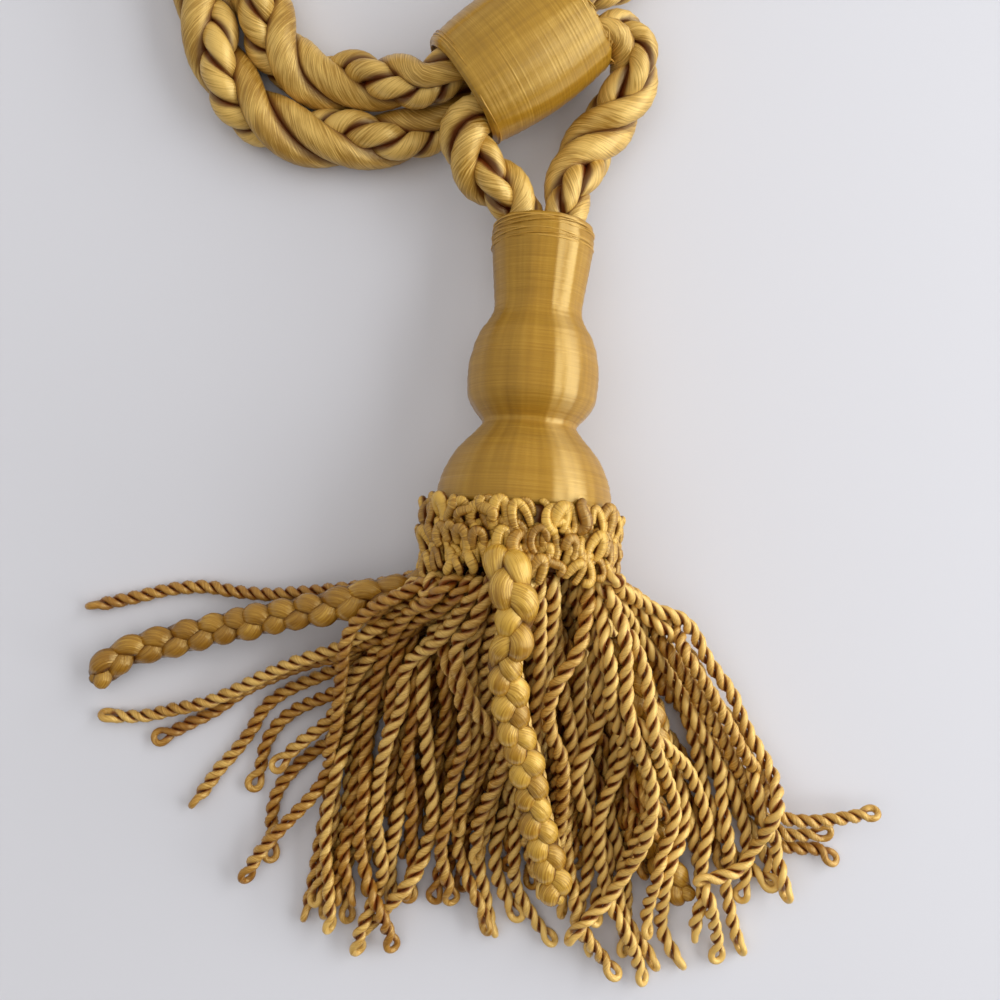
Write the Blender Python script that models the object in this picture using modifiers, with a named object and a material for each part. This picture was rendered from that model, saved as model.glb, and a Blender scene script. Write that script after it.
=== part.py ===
"""Curtain tieback with a hand-made tassel, lying on a table.

A turned and thread-wound head hangs on a short rope ring. A crimped ruff covers the join
to a skirt of twisted bullion cords and three plaited floss drops. The ring and the two
ropes of the embrace pass through a wound barrel slide.
Units are metres with +Z up. The table top is z = 0, and the origin lies on it under the
middle of the ruff. +Y runs from the skirt to the slide. Tables are in millimetres.
"""
import math

import bmesh
import bpy
from mathutils import Matrix, Vector

MM = 0.001
GAP = 0.3                       # clearance between pieces that touch

# Head, ruff and skirt share one axis, which passes through the middle of the ruff.
RUFF_CENTRE = (0.0, 0.0, 23.45)
AXIS_PLAN_DEG = 4.4             # the neck lies this far to the right of +Y
AXIS_DIP_DEG = 6.5              # and dips this far below the level
RUFF_BORE = 18.4
RUFF_TOP = 8.7                  # measured along the axis from the middle of the ruff
RUFF_FOOT = -7.6
NECK_TOP = 78.0
NECK_POCKET_RADIUS = 10.45      # the rope ends sit in this pocket
NECK_POCKET_DEPTH = 3.0
SKIRT_ROOT_RADIUS = 19.5

# Barrel slide.
SLIDE_CENTRE = (-0.1, 118.2, 15.9)
SLIDE_PLAN_DEG = 34.9           # its axis, from +X towards +Y
SLIDE_DIP_DEG = 1.5             # its right end is the lower one
SLIDE_LEFT = -16.2
SLIDE_RIGHT = 17.2
SLIDE_END_RADIUS = 14.3
SLIDE_MIDDLE_RADIUS = 15.9
SLIDE_BORE = 12.4
SLIDE_RIM = 0.8                 # the rounding at each end of its outer side

ROPE_RADIUS = 6.5
BULLION_RADIUS = 1.85
FLOSS_RADIUS = 4.4
FINGER_RADIUS = 4.0             # a few bullion cords side by side at the comb's free ends
TABLE_SLAB = (0.4, 0.4, 0.02)

# Outline of the head: distance along the axis from the middle of the ruff, radius.
HEAD_PROFILE = [
    (78.0, 11.4), (76.8, 11.8), (72.5, 12.0), (66.0, 11.3), (58.0, 10.4), (54.5, 11.1),
    (50.2, 13.6), (45.4, 15.0), (41.0, 15.4), (35.7, 15.0), (32.6, 13.4), (29.6, 11.1),
    (27.1, 12.5), (24.2, 15.1), (21.4, 17.3), (17.8, 19.0), (14.3, 20.1), (10.7, 20.5),
    (9.4, 20.4), (9.0, 18.1), (-7.6, 18.1),
]

# Outline of the ruff's outer side: three soft rows of loops.
RUFF_PROFILE = [
    (8.7, 19.6), (8.2, 22.4), (6.6, 23.7), (4.2, 23.9), (2.6, 23.5), (1.0, 23.9),
    (-1.6, 23.9), (-3.0, 23.4), (-4.6, 23.8), (-6.4, 23.2), (-7.6, 21.0),
]

# Cross-sections of the skirt's bunch: y, left side, right side, top. Its underside is flat.
SKIRT_SECTIONS = [
    (-17.0, -28.0, 27.0, 42.0),
    (-28.0, -37.0, 36.0, 36.0),
    (-42.0, -41.0, 44.5, 28.0),
    (-56.0, -43.0, 51.0, 20.5),
    (-70.0, -46.0, 57.0, 13.5),
    (-79.0, -47.5, 60.0, 9.5),
]

# Free ends of the skirt's comb: x, y of the tip.
SKIRT_TIPS = [
    (-53.0, -93.0), (-46.5, -97.0), (-39.5, -103.0), (-31.0, -102.0), (-23.0, -92.5),
    (-15.5, -91.0), (-7.0, -98.0), (2.5, -93.0), (11.0, -97.0), (19.0, -101.0),
    (26.0, -107.5), (33.0, -109.0), (40.0, -104.0), (48.5, -104.5), (57.0, -105.0), (66.5, -91.5),
]

# Rope routes: x, y, z, radius at that point.
EMBRACE_INNER = [
    (-3.2, 120.9, 21.7, 4.8), (-9.7, 117.4, 21.4, 4.8), (-16.5, 113.4, 20.9, 4.8),
    (-21.6, 111.0, 18.6, 5.3), (-28.0, 112.1, 14.8, 5.7), (-35.2, 113.2, 10.0, 6.4),
    (-43.0, 113.7, 7.6, 6.5), (-51.0, 115.3, 6.8, 6.5), (-57.3, 120.6, 6.8, 6.5),
    (-61.8, 129.4, 6.8, 6.5), (-64.4, 139.0, 6.8, 6.5), (-68.0, 158.0, 6.8, 6.5),
    (-70.0, 181.0, 6.8, 6.5), (-69.0, 206.0, 6.8, 6.5), (-61.5, 232.0, 6.8, 6.5),
    (-45.5, 252.0, 6.8, 6.5), (-24.0, 260.0, 6.8, 6.5), (-2.5, 252.5, 6.8, 6.5),
    (12.5, 233.0, 6.8, 6.5), (19.0, 208.0, 6.8, 6.5), (20.5, 182.0, 6.8, 6.5),
    (19.2, 163.0, 9.2, 6.3), (18.6, 153.0, 14.0, 6.0), (18.4, 145.0, 18.6, 5.6),
    (17.6, 138.0, 21.2, 5.2), (15.6, 133.0, 22.0, 4.9), (12.6, 130.0, 22.1, 4.8),
    (5.2, 125.6, 21.9, 4.8), (-1.4, 122.1, 21.7, 4.8),
]
EMBRACE_OUTER = [
    (-2.6, 120.1, 9.5, 4.8), (-8.0, 115.3, 9.4, 4.8), (-14.1, 109.9, 9.3, 4.8),
    (-20.6, 103.8, 8.4, 5.4), (-30.0, 100.4, 6.6, 6.2), (-41.0, 99.8, 6.8, 6.5),
    (-52.0, 100.8, 6.8, 6.5), (-63.2, 106.0, 6.8, 6.5), (-71.9, 116.2, 6.8, 6.5),
    (-76.2, 127.8, 6.8, 6.5), (-78.4, 139.0, 6.8, 6.5), (-81.8, 158.0, 6.8, 6.5),
    (-84.0, 181.0, 6.8, 6.5), (-83.0, 208.0, 6.8, 6.5), (-74.5, 238.0, 6.8, 6.5),
    (-53.5, 264.0, 6.8, 6.5), (-24.0, 274.5, 6.8, 6.5), (5.5, 264.0, 6.8, 6.5),
    (25.5, 239.0, 6.8, 6.5), (33.0, 209.0, 6.8, 6.5), (34.4, 182.0, 6.8, 6.5),
    (33.6, 163.0, 6.8, 6.5), (31.8, 153.0, 6.7, 6.3), (27.8, 145.0, 6.7, 6.0),
    (22.4, 138.8, 7.4, 5.6), (16.4, 134.8, 8.9, 5.1), (11.4, 131.8, 10.0, 4.8),
    (4.6, 126.2, 9.8, 4.8), (-1.0, 121.4, 9.5, 4.8),
]
HANGING_RING = [
    (0.86, 75.4, 14.9, 4.65), (1.1, 78.9, 14.5, 4.65), (0.2, 82.2, 14.2, 5.1),
    (-3.4, 86.0, 14.2, 5.8), (-8.2, 89.4, 14.8, 6.0), (-11.8, 93.6, 16.6, 6.0),
    (-12.9, 98.4, 18.6, 5.6), (-11.6, 101.7, 19.2, 5.2), (-9.4, 103.7, 18.9, 4.8),
    (-6.5, 106.0, 18.3, 4.8), (3.9, 112.5, 16.6, 4.8), (14.6, 119.9, 14.8, 4.8),
    (18.0, 122.3, 14.2, 4.8), (21.0, 123.9, 13.4, 5.0), (24.4, 123.6, 12.4, 5.2),
    (27.2, 120.8, 11.2, 5.4), (28.2, 117.0, 10.2, 5.6), (27.3, 112.4, 9.4, 5.8),
    (24.8, 107.6, 8.8, 6.0), (20.9, 102.3, 8.6, 6.2), (16.3, 96.2, 9.2, 6.2),
    (13.0, 89.8, 11.2, 5.9), (11.6, 83.8, 13.4, 5.3), (10.95, 78.4, 14.5, 4.65),
    (10.6, 74.7, 14.9, 4.65),
]

# Plaited floss drops: x, y, z along the free length.
FLOSS_DROPS = {
    "floss_drop_front": [
        (-1.0, -12.0, 48.6), (-1.6, -18.0, 47.4), (-3.8, -24.0, 44.6), (-2.4, -31.0, 40.8),
        (-1.8, -38.0, 37.0), (0.6, -45.0, 33.0), (2.4, -54.0, 28.2), (3.6, -62.0, 24.0),
        (6.0, -70.0, 19.6), (8.2, -78.0, 16.4), (9.0, -84.5, 14.4),
    ],
    "floss_drop_left": [
        (-26.8, -9.6, 26.0), (-35.6, -10.9, 23.6), (-43.2, -13.0, 20.0), (-50.8, -14.6, 16.5),
        (-58.8, -16.2, 13.0), (-66.6, -18.2, 10.0), (-74.7, -20.0, 7.4), (-83.2, -22.3, 5.4),
        (-91.6, -24.4, 4.6), (-98.5, -27.0, 4.5), (-104.9, -33.0, 4.5),
    ],
    "floss_drop_right": [
        (22.6, -20.0, 42.8), (27.0, -30.0, 38.6), (30.0, -40.0, 33.6), (32.0, -50.0, 28.6),
        (31.4, -60.0, 23.8), (32.6, -70.0, 18.8), (36.4, -79.0, 15.0), (41.4, -87.0, 12.2),
    ],
}

# Bullion cords that stray from the bunch: x, y, z along the stretch that lies free.
BULLION_STRAYS = {
    "bullion_left_1": [
        (-25.6, -6.6, 15.5), (-33.0, -8.2, 14.5), (-43.9, -9.7, 12.5), (-53.5, -10.7, 9.2),
        (-61.0, -11.4, 6.0), (-69.2, -10.9, 3.8), (-78.7, -9.7, 2.2), (-88.0, -10.7, 1.9),
        (-97.5, -12.9, 1.9), (-107.2, -14.6, 1.9),
    ],
    "bullion_left_2": [
        (-41.0, -22.4, 17.5), (-54.8, -27.6, 13.0), (-64.0, -32.0, 9.4), (-72.3, -36.2, 6.6),
        (-78.6, -38.4, 5.8), (-85.6, -40.0, 3.6), (-94.6, -42.0, 1.9), (-104.0, -41.4, 1.9),
    ],
    "bullion_left_3": [
        (-42.0, -25.2, 12.0), (-50.8, -27.8, 8.0), (-59.7, -31.4, 4.4), (-68.4, -35.6, 2.4),
        (-75.2, -40.4, 1.9), (-81.7, -43.6, 1.9), (-88.0, -46.8, 1.9), (-94.6, -49.0, 1.9),
    ],
    "bullion_left_4": [
        (-43.2, -28.4, 7.4), (-50.4, -32.2, 4.4), (-57.8, -35.6, 2.8), (-63.4, -40.2, 1.9),
        (-67.0, -46.4, 1.9), (-70.9, -51.2, 1.9), (-75.5, -56.4, 1.9), (-79.2, -61.8, 1.9),
        (-82.8, -65.8, 1.9),
    ],
    "bullion_left_5": [
        (-44.6, -34.8, 7.6), (-51.0, -38.0, 5.0), (-57.0, -41.4, 2.4), (-61.8, -46.6, 1.9),
        (-63.8, -52.6, 1.9), (-64.8, -57.8, 1.9), (-67.6, -61.8, 1.9),
    ],
    "bullion_left_6": [
        (-45.2, -40.6, 9.0), (-50.4, -45.2, 7.2), (-56.2, -50.2, 5.6), (-60.6, -54.6, 5.4),
    ],
    "bullion_left_7": [
        (-45.8, -46.4, 3.6), (-51.6, -51.2, 2.2), (-57.4, -56.8, 1.9), (-61.0, -63.6, 1.9),
        (-61.2, -71.6, 1.9), (-62.0, -80.0, 1.9),
    ],
    "bullion_left_8": [
        (-46.0, -52.2, 6.4), (-49.0, -58.6, 6.2), (-54.4, -64.8, 6.4), (-60.9, -71.4, 6.5),
        (-66.4, -79.0, 4.6), (-69.1, -86.2, 2.2),
    ],
    "bullion_right_1": [
        (61.4, -63.2, 10.4), (67.0, -65.8, 10.2), (74.0, -66.2, 9.4), (83.0, -65.2, 8.0),
        (92.0, -64.0, 6.6),
    ],
    "bullion_right_2": [
        (62.2, -68.8, 5.6), (67.8, -70.8, 4.8), (73.0, -70.6, 4.2), (79.4, -69.8, 3.8),
    ],
    "bullion_right_3": [
        (64.6, -74.4, 2.2), (69.0, -74.4, 1.9), (73.2, -74.6, 1.9), (77.2, -76.6, 1.9),
        (80.6, -79.6, 1.9),
    ],
}

COLOURS = {
    "wound_satin": (0.45, 0.27, 0.07),
    "rope_satin": (0.47, 0.30, 0.09),
    "bullion_yarn": (0.42, 0.26, 0.08),
    "floss_yarn": (0.52, 0.33, 0.09),
}


def new_material(name, colour, roughness):
    material = bpy.data.materials.new(name)
    material.use_nodes = True
    shader = material.node_tree.nodes["Principled BSDF"]
    shader.inputs["Base Color"].default_value = (*colour, 1.0)
    shader.inputs["Roughness"].default_value = roughness
    shader.inputs["Metallic"].default_value = 0.0
    return material


def new_object(name, data, collection, material=None):
    obj = bpy.data.objects.new(name, data)
    collection.objects.link(obj)
    if material:
        data.materials.append(material)
    return obj


def smooth_route(rows, spacing):
    """Points along a Catmull-Rom curve through the rows, about evenly spaced.

    A row is any list of numbers that starts with x, y, z; the rest, such as a radius, follow.
    """
    ends = [[2 * a - b for a, b in zip(rows[0], rows[1])], [2 * a - b for a, b in zip(rows[-1], rows[-2])]]
    knots = [ends[0], *rows, ends[1]]
    fine = []
    for before, start, stop, after in zip(knots, knots[1:], knots[2:], knots[3:]):
        for step in range(12):
            t = step / 12
            fine.append([
                0.5 * (2 * b + (c - a) * t + (2 * a - 5 * b + 4 * c - d) * t * t
                       + (3 * b - a - 3 * c + d) * t ** 3)
                for a, b, c, d in zip(before, start, stop, after)
            ])
    fine.append(list(rows[-1]))
    lengths = [0.0]
    for here, there in zip(fine, fine[1:]):
        lengths.append(lengths[-1] + math.dist(here[:3], there[:3]))
    count = max(3, round(lengths[-1] / spacing) + 1)
    points = []
    index = 0
    for number in range(count):
        target = lengths[-1] * number / (count - 1)
        while index < len(lengths) - 2 and lengths[index + 1] < target:
            index += 1
        share = (target - lengths[index]) / (lengths[index + 1] - lengths[index])
        points.append([a + (b - a) * share for a, b in zip(fine[index], fine[index + 1])])
    return points


def tube(name, rows, radius, spacing, resolution, collection, material):
    """A round cord along the rows. A fourth number in a row is its own radius there."""
    points = smooth_route(rows, spacing)
    curve = bpy.data.curves.new(name, "CURVE")
    curve.dimensions = "3D"
    curve.bevel_depth = radius * MM
    curve.bevel_resolution = resolution
    curve.use_fill_caps = True
    spline = curve.splines.new("POLY")
    spline.points.add(len(points) - 1)
    for target, point in zip(spline.points, points):
        target.co = (point[0] * MM, point[1] * MM, point[2] * MM, 1.0)
        target.radius = point[3] / radius if len(point) > 3 else 1.0
    return new_object(name, curve, collection, material)


def turned(name, profile, steps, collection, material):
    """A Screw of an (along, radius) outline listed from the top down its outer side."""
    mesh = bpy.data.meshes.new(name)
    mesh.from_pydata(
        [(radius * MM, 0.0, along * MM) for along, radius in profile],
        [(number, number + 1) for number in range(len(profile) - 1)], [])
    obj = new_object(name, mesh, collection, material)
    screw = obj.modifiers.new("turn", "SCREW")
    screw.steps = steps
    screw.render_steps = steps
    screw.use_merge_vertices = True
    screw.merge_threshold = 0.00001
    screw.use_smooth_shade = True
    return obj


def axis_empty(name, centre, direction, collection):
    """An empty whose local +Z points along the direction."""
    empty = bpy.data.objects.new(name, None)
    collection.objects.link(empty)
    empty.empty_display_size = 0.01
    empty.location = Vector(centre) * MM
    empty.rotation_mode = "QUATERNION"
    empty.rotation_quaternion = Vector(direction).to_track_quat("Z", "X")
    return empty


def plan_direction(plan_deg, dip_deg):
    """Unit vector at an angle from +X in plan, dipping below the level."""
    plan, dip = math.radians(plan_deg), math.radians(dip_deg)
    return (math.cos(plan) * math.cos(dip), math.sin(plan) * math.cos(dip), -math.sin(dip))


def boolean(obj, operation, other):
    modifier = obj.modifiers.new(operation.lower(), "BOOLEAN")
    modifier.operation = operation
    modifier.solver = "EXACT"
    modifier.object = other
    return modifier


def make_cutter(obj):
    obj.hide_render = True
    obj.display_type = "WIRE"
    return obj


def table_slab(cutters):
    """The space below the table top, which flattens whatever lies on it."""
    mesh = bpy.data.meshes.new("table_slab")
    shape = bmesh.new()
    bmesh.ops.create_cube(shape, size=1.0)
    bmesh.ops.scale(shape, vec=TABLE_SLAB, verts=shape.verts)
    bmesh.ops.translate(shape, vec=(0.0, 0.0, -TABLE_SLAB[2] / 2), verts=shape.verts)
    shape.to_mesh(mesh)
    shape.free()
    return make_cutter(new_object("table_slab", mesh, cutters))


def build_head(axis, collection, material):
    """The turned mould, wound all over with thread; the rope ends sit in its neck."""
    floor = NECK_TOP - NECK_POCKET_DEPTH
    profile = [(floor, 0.0), (floor, NECK_POCKET_RADIUS), (NECK_TOP - 0.2, NECK_POCKET_RADIUS)]
    profile += HEAD_PROFILE + [(RUFF_FOOT, 0.0)]
    head = turned("tassel_head", profile, 40, collection, material)
    head.parent = axis


def build_ruff(axis, slab, collection, material):
    """The crimped gimp band round the foot of the head, flattened where it rests."""
    profile = [(RUFF_TOP, RUFF_BORE)] + RUFF_PROFILE + [(RUFF_FOOT, RUFF_BORE), (RUFF_TOP, RUFF_BORE)]
    ruff = turned("ruff", profile, 40, collection, material)
    ruff.parent = axis
    boolean(ruff, "DIFFERENCE", slab)


def build_slide(collection, material):
    """The barrel slide, a wound sleeve with a bulged side and a straight bore."""
    middle = (SLIDE_LEFT + SLIDE_RIGHT) / 2
    half = (SLIDE_RIGHT - SLIDE_LEFT) / 2
    outer = []
    for number in range(9):
        along = middle + (half - SLIDE_RIM) * (1 - number / 4)
        bulge = 1 - ((along - middle) / (half - SLIDE_RIM)) ** 2
        outer.append((along, SLIDE_END_RADIUS + (SLIDE_MIDDLE_RADIUS - SLIDE_END_RADIUS) * bulge))
    rim = SLIDE_END_RADIUS - SLIDE_RIM
    profile = [(SLIDE_RIGHT, SLIDE_BORE), (SLIDE_RIGHT, rim), *outer, (SLIDE_LEFT, rim),
               (SLIDE_LEFT, SLIDE_BORE), (SLIDE_RIGHT, SLIDE_BORE)]
    slide = turned("slide", profile, 36, collection, material)
    slide.parent = axis_empty("slide_axis", SLIDE_CENTRE, plan_direction(SLIDE_PLAN_DEG, SLIDE_DIP_DEG),
                              collection)


def skirt_ring(y, left, right, top, count):
    """A low arch with its underside just below the table top, which the slab cuts flat."""
    low = -1.0
    centre = low + 0.3 * (top - low)
    ring = []
    for number in range(count):
        angle = 2 * math.pi * number / count
        x = (left + right) / 2 + (right - left) / 2 * math.cos(angle)
        ring.append(Vector((x, y, max(low, centre + 0.7 * (top - low) * math.sin(angle)))) * MM)
    return ring


def skirt_bunch(axis_matrix):
    """The close bunch below the ruff, lofted from a round root to a wide low fan."""
    count = 28
    root_depth = RUFF_FOOT - GAP
    up = Vector((0.0, 0.0, 1.0))
    along = (axis_matrix.to_3x3() @ up).normalized()
    side = along.cross(up).normalized()
    crest = side.cross(along).normalized()
    centre = axis_matrix @ Vector((0.0, 0.0, root_depth * MM))
    root = [centre + SKIRT_ROOT_RADIUS * MM * (side * math.cos(angle) + crest * math.sin(angle))
            for angle in (2 * math.pi * number / count for number in range(count))]
    rings = [root] + [skirt_ring(*row, count) for row in SKIRT_SECTIONS]
    shape = bmesh.new()
    loops = [[shape.verts.new(point) for point in ring] for ring in rings]
    for near, far in zip(loops, loops[1:]):
        for number in range(count):
            after = (number + 1) % count
            shape.faces.new((near[number], near[after], far[after], far[number]))
    shape.faces.new(loops[0])
    shape.faces.new(loops[-1])
    bmesh.ops.recalc_face_normals(shape, faces=shape.faces)
    mesh = bpy.data.meshes.new("skirt")
    shape.to_mesh(mesh)
    shape.free()
    return mesh


def build_skirt(axis, slab, collection, cutters, material):
    """The bullion fringe as one comb: the close bunch and the fingers its ends part into."""
    bpy.context.view_layer.update()
    skirt = new_object("skirt", skirt_bunch(axis.matrix_world), collection, material)
    for number, (x, y) in enumerate(SKIRT_TIPS):
        lean = (x - 4.0) / 60.0
        rows = [(4.0 + 42.0 * lean, -58.0, 6.5, 6.0), (4.0 + 52.0 * lean, -76.0, 5.0, 5.0),
                (x - 2.0 * lean, y + 8.0, 3.2, 3.9), (x, y, 2.6, 3.2)]
        name = "skirt_finger_%02d" % number
        curve = tube(name + "_curve", rows, FINGER_RADIUS, 12.0, 2, cutters, None)
        bpy.context.view_layer.update()
        depsgraph = bpy.context.evaluated_depsgraph_get()
        mesh = bpy.data.meshes.new_from_object(curve.evaluated_get(depsgraph))
        shape = bmesh.new()
        shape.from_mesh(mesh)
        bmesh.ops.remove_doubles(shape, verts=shape.verts, dist=0.00001)
        bmesh.ops.recalc_face_normals(shape, faces=shape.faces)
        shape.to_mesh(mesh)
        shape.free()
        finger = make_cutter(new_object(name, mesh, cutters))
        finger.matrix_world = curve.matrix_world
        bpy.data.objects.remove(curve)
        boolean(skirt, "UNION", finger)
    boolean(skirt, "DIFFERENCE", slab)


def build_cords(collection, materials):
    rope = materials["rope_satin"]
    tube("embrace_inner", EMBRACE_INNER, ROPE_RADIUS, 10.0, 3, collection, rope)
    tube("embrace_outer", EMBRACE_OUTER, ROPE_RADIUS, 10.0, 3, collection, rope)
    tube("hanging_ring", HANGING_RING, ROPE_RADIUS, 5.0, 3, collection, rope)
    for name, rows in FLOSS_DROPS.items():
        tube(name, rows, FLOSS_RADIUS, 8.0, 2, collection, materials["floss_yarn"])
    for name, rows in BULLION_STRAYS.items():
        tube(name, rows, BULLION_RADIUS, 8.0, 2, collection, materials["bullion_yarn"])


def main():
    for obj in list(bpy.data.objects):
        bpy.data.objects.remove(obj)
    collection = bpy.data.collections.new("curtain_tieback_tassel")
    cutters = bpy.data.collections.new("cutters")
    bpy.context.scene.collection.children.link(collection)
    bpy.context.scene.collection.children.link(cutters)
    materials = {name: new_material(name, colour, 0.45) for name, colour in COLOURS.items()}

    direction = plan_direction(90.0 - AXIS_PLAN_DEG, AXIS_DIP_DEG)
    axis = axis_empty("tassel_axis", RUFF_CENTRE, direction, collection)
    slab = table_slab(cutters)
    build_head(axis, collection, materials["wound_satin"])
    build_ruff(axis, slab, collection, materials["rope_satin"])
    build_slide(collection, materials["wound_satin"])
    build_skirt(axis, slab, collection, cutters, materials["bullion_yarn"])
    build_cords(collection, materials)


main()
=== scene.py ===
"""Curtain tieback with a hand-made bullion tassel, lying on a pale table.

The sections follow the tieback from the hook end to the fringe: the two ropes of the embrace and
the rope ring that the tassel hangs from, the bullion fringe, the floss drops, the wound head, the
slide and the ruff. The table and the light of the room come last. Lengths are in millimetres.
"""
import math

import bpy
import numpy as np
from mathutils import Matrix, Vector
from mathutils.kdtree import KDTree


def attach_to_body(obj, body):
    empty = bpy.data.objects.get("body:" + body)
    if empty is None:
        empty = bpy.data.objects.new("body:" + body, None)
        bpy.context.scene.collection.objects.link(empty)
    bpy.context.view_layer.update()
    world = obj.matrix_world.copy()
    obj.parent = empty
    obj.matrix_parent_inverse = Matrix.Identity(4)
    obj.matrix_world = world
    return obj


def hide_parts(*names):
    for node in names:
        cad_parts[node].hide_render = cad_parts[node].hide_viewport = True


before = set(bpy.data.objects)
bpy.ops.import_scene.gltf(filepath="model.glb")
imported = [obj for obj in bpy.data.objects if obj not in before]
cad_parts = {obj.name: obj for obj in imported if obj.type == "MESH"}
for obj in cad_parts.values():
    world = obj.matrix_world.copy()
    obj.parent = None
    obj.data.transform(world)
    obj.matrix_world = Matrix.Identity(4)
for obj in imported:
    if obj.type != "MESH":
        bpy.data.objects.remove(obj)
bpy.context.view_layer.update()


# ---------------------------------------------------------------- camera
# Straight above the tassel and looking straight down, from about a third of a metre away.
MM = 0.001                       # a millimetre in metres
camera = bpy.data.objects.new("camera", bpy.data.cameras.new("camera"))
bpy.context.scene.collection.objects.link(camera)
camera.data.lens = 50.0
camera.data.sensor_width = 36.0
camera.data.clip_start = 0.01
camera.location = Vector((-4.6, 11.8, 347.0)) * MM
bpy.context.scene.camera = camera


# ---------------------------------------------------------------- ropes of the embrace and the ring
# Soft furnishing rope of 15 mm: three plies laid Z, two fat ones of loose satin viscose and one
# that is itself cabled S from two strands. The two embrace ropes go round the curtain and hook.
ROPE_RADIUS = 6.5                # of a free stretch, at the middle of a ply's crown a little more
FAT_OFFSET = 3.75                # middle of a fat ply, from the rope's own middle
FAT_HALF_THICK = 3.45
FAT_HALF_WIDE = 3.75
CABLED_OFFSET = 3.45             # middle of the cabled ply, from the rope's own middle
CABLED_PITCH = 13.4
STRAND_OFFSET = 2.05             # middle of one of its strands, from the ply's middle
STRAND_RADIUS = 2.55

# Routes in millimetres: x, y, z, radius.
EMBRACE_INNER = [
    (-3.2, 120.9, 21.7, 4.8), (-9.7, 117.4, 21.4, 4.8), (-16.5, 113.4, 20.9, 4.8),
    (-21.6, 111.0, 18.6, 5.3), (-28.0, 112.1, 14.8, 5.7), (-35.2, 113.2, 10.0, 6.4),
    (-43.0, 113.7, 7.6, 6.5), (-51.0, 115.3, 6.8, 6.5), (-57.3, 120.6, 6.8, 6.5),
    (-61.8, 129.4, 6.8, 6.5), (-64.4, 139.0, 6.8, 6.5), (-68.0, 158.0, 6.8, 6.5),
    (-70.0, 181.0, 6.8, 6.5), (-69.0, 206.0, 6.8, 6.5), (-61.5, 232.0, 6.8, 6.5),
    (-45.5, 252.0, 6.8, 6.5), (-24.0, 260.0, 6.8, 6.5), (-2.5, 252.5, 6.8, 6.5),
    (12.5, 233.0, 6.8, 6.5), (19.0, 208.0, 6.8, 6.5), (20.5, 182.0, 6.8, 6.5),
    (19.2, 163.0, 9.2, 6.3), (18.6, 153.0, 14.0, 6.0), (18.4, 145.0, 18.6, 5.6),
    (17.6, 138.0, 21.2, 5.2), (15.6, 133.0, 22.0, 4.9), (12.6, 130.0, 22.1, 4.8),
    (5.2, 125.6, 21.9, 4.8), (-1.4, 122.1, 21.7, 4.8),
]
EMBRACE_OUTER = [
    (-2.6, 120.1, 9.5, 4.8), (-8.0, 115.3, 9.4, 4.8), (-14.1, 109.9, 9.3, 4.8),
    (-20.6, 103.8, 8.4, 5.4), (-30.0, 100.4, 6.6, 6.2), (-41.0, 99.8, 6.8, 6.5),
    (-52.0, 100.8, 6.8, 6.5), (-63.2, 106.0, 6.8, 6.5), (-71.9, 116.2, 6.8, 6.5),
    (-76.2, 127.8, 6.8, 6.5), (-78.4, 139.0, 6.8, 6.5), (-81.8, 158.0, 6.8, 6.5),
    (-84.0, 181.0, 6.8, 6.5), (-83.0, 208.0, 6.8, 6.5), (-74.5, 238.0, 6.8, 6.5),
    (-53.5, 264.0, 6.8, 6.5), (-24.0, 274.5, 6.8, 6.5), (5.5, 264.0, 6.8, 6.5),
    (25.5, 239.0, 6.8, 6.5), (33.0, 209.0, 6.8, 6.5), (34.4, 182.0, 6.8, 6.5),
    (33.6, 163.0, 6.8, 6.5), (31.8, 153.0, 6.7, 6.3), (27.8, 145.0, 6.7, 6.0),
    (22.4, 138.8, 7.4, 5.6), (16.4, 134.8, 8.9, 5.1), (11.4, 131.8, 10.0, 4.8),
    (4.6, 126.2, 9.8, 4.8), (-1.0, 121.4, 9.5, 4.8),
]
HANGING_RING = [
    (0.86, 75.4, 14.9, 4.65), (1.1, 78.9, 14.5, 4.65), (0.2, 82.2, 14.2, 5.1),
    (-3.4, 86.0, 14.2, 5.8), (-8.2, 89.4, 14.8, 6.0), (-11.8, 93.6, 16.6, 6.0),
    (-12.9, 98.4, 18.6, 5.6), (-11.6, 101.7, 19.2, 5.2), (-9.4, 103.7, 18.9, 4.8),
    (-6.5, 106.0, 18.3, 4.8), (3.9, 112.5, 16.6, 4.8), (14.6, 119.9, 14.8, 4.8),
    (18.0, 122.3, 14.2, 4.8), (21.0, 123.9, 13.4, 5.0), (24.4, 123.6, 12.4, 5.2),
    (27.2, 120.8, 11.2, 5.4), (28.2, 117.0, 10.2, 5.6), (27.3, 112.4, 9.4, 5.8),
    (24.8, 107.6, 8.8, 6.0), (20.9, 102.3, 8.6, 6.2), (16.3, 96.2, 9.2, 6.2),
    (13.0, 89.8, 11.2, 5.9), (11.6, 83.8, 13.4, 5.3), (10.95, 78.4, 14.5, 4.65),
    (10.6, 74.7, 14.9, 4.65),
]


def linear(colour):
    """An sRGB hex colour as the linear RGBA that a shader takes."""
    parts = [int(colour[i:i + 2], 16) / 255 for i in (1, 3, 5)]
    return (*[c / 12.92 if c <= 0.04045 else ((c + 0.055) / 1.055) ** 2.4 for c in parts], 1.0)


def add_node(tree, kind, settings=None, links=None):
    """A node with its properties or socket values set, and its inputs linked."""
    node = tree.nodes.new(kind)
    for name, value in (settings or {}).items():
        if isinstance(name, str) and hasattr(node, name):
            setattr(node, name, value)
        else:
            node.inputs[name].default_value = value
    for name, (source, output) in (links or {}).items():
        tree.links.new(source.outputs[output], node.inputs[name])
    return node


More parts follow.
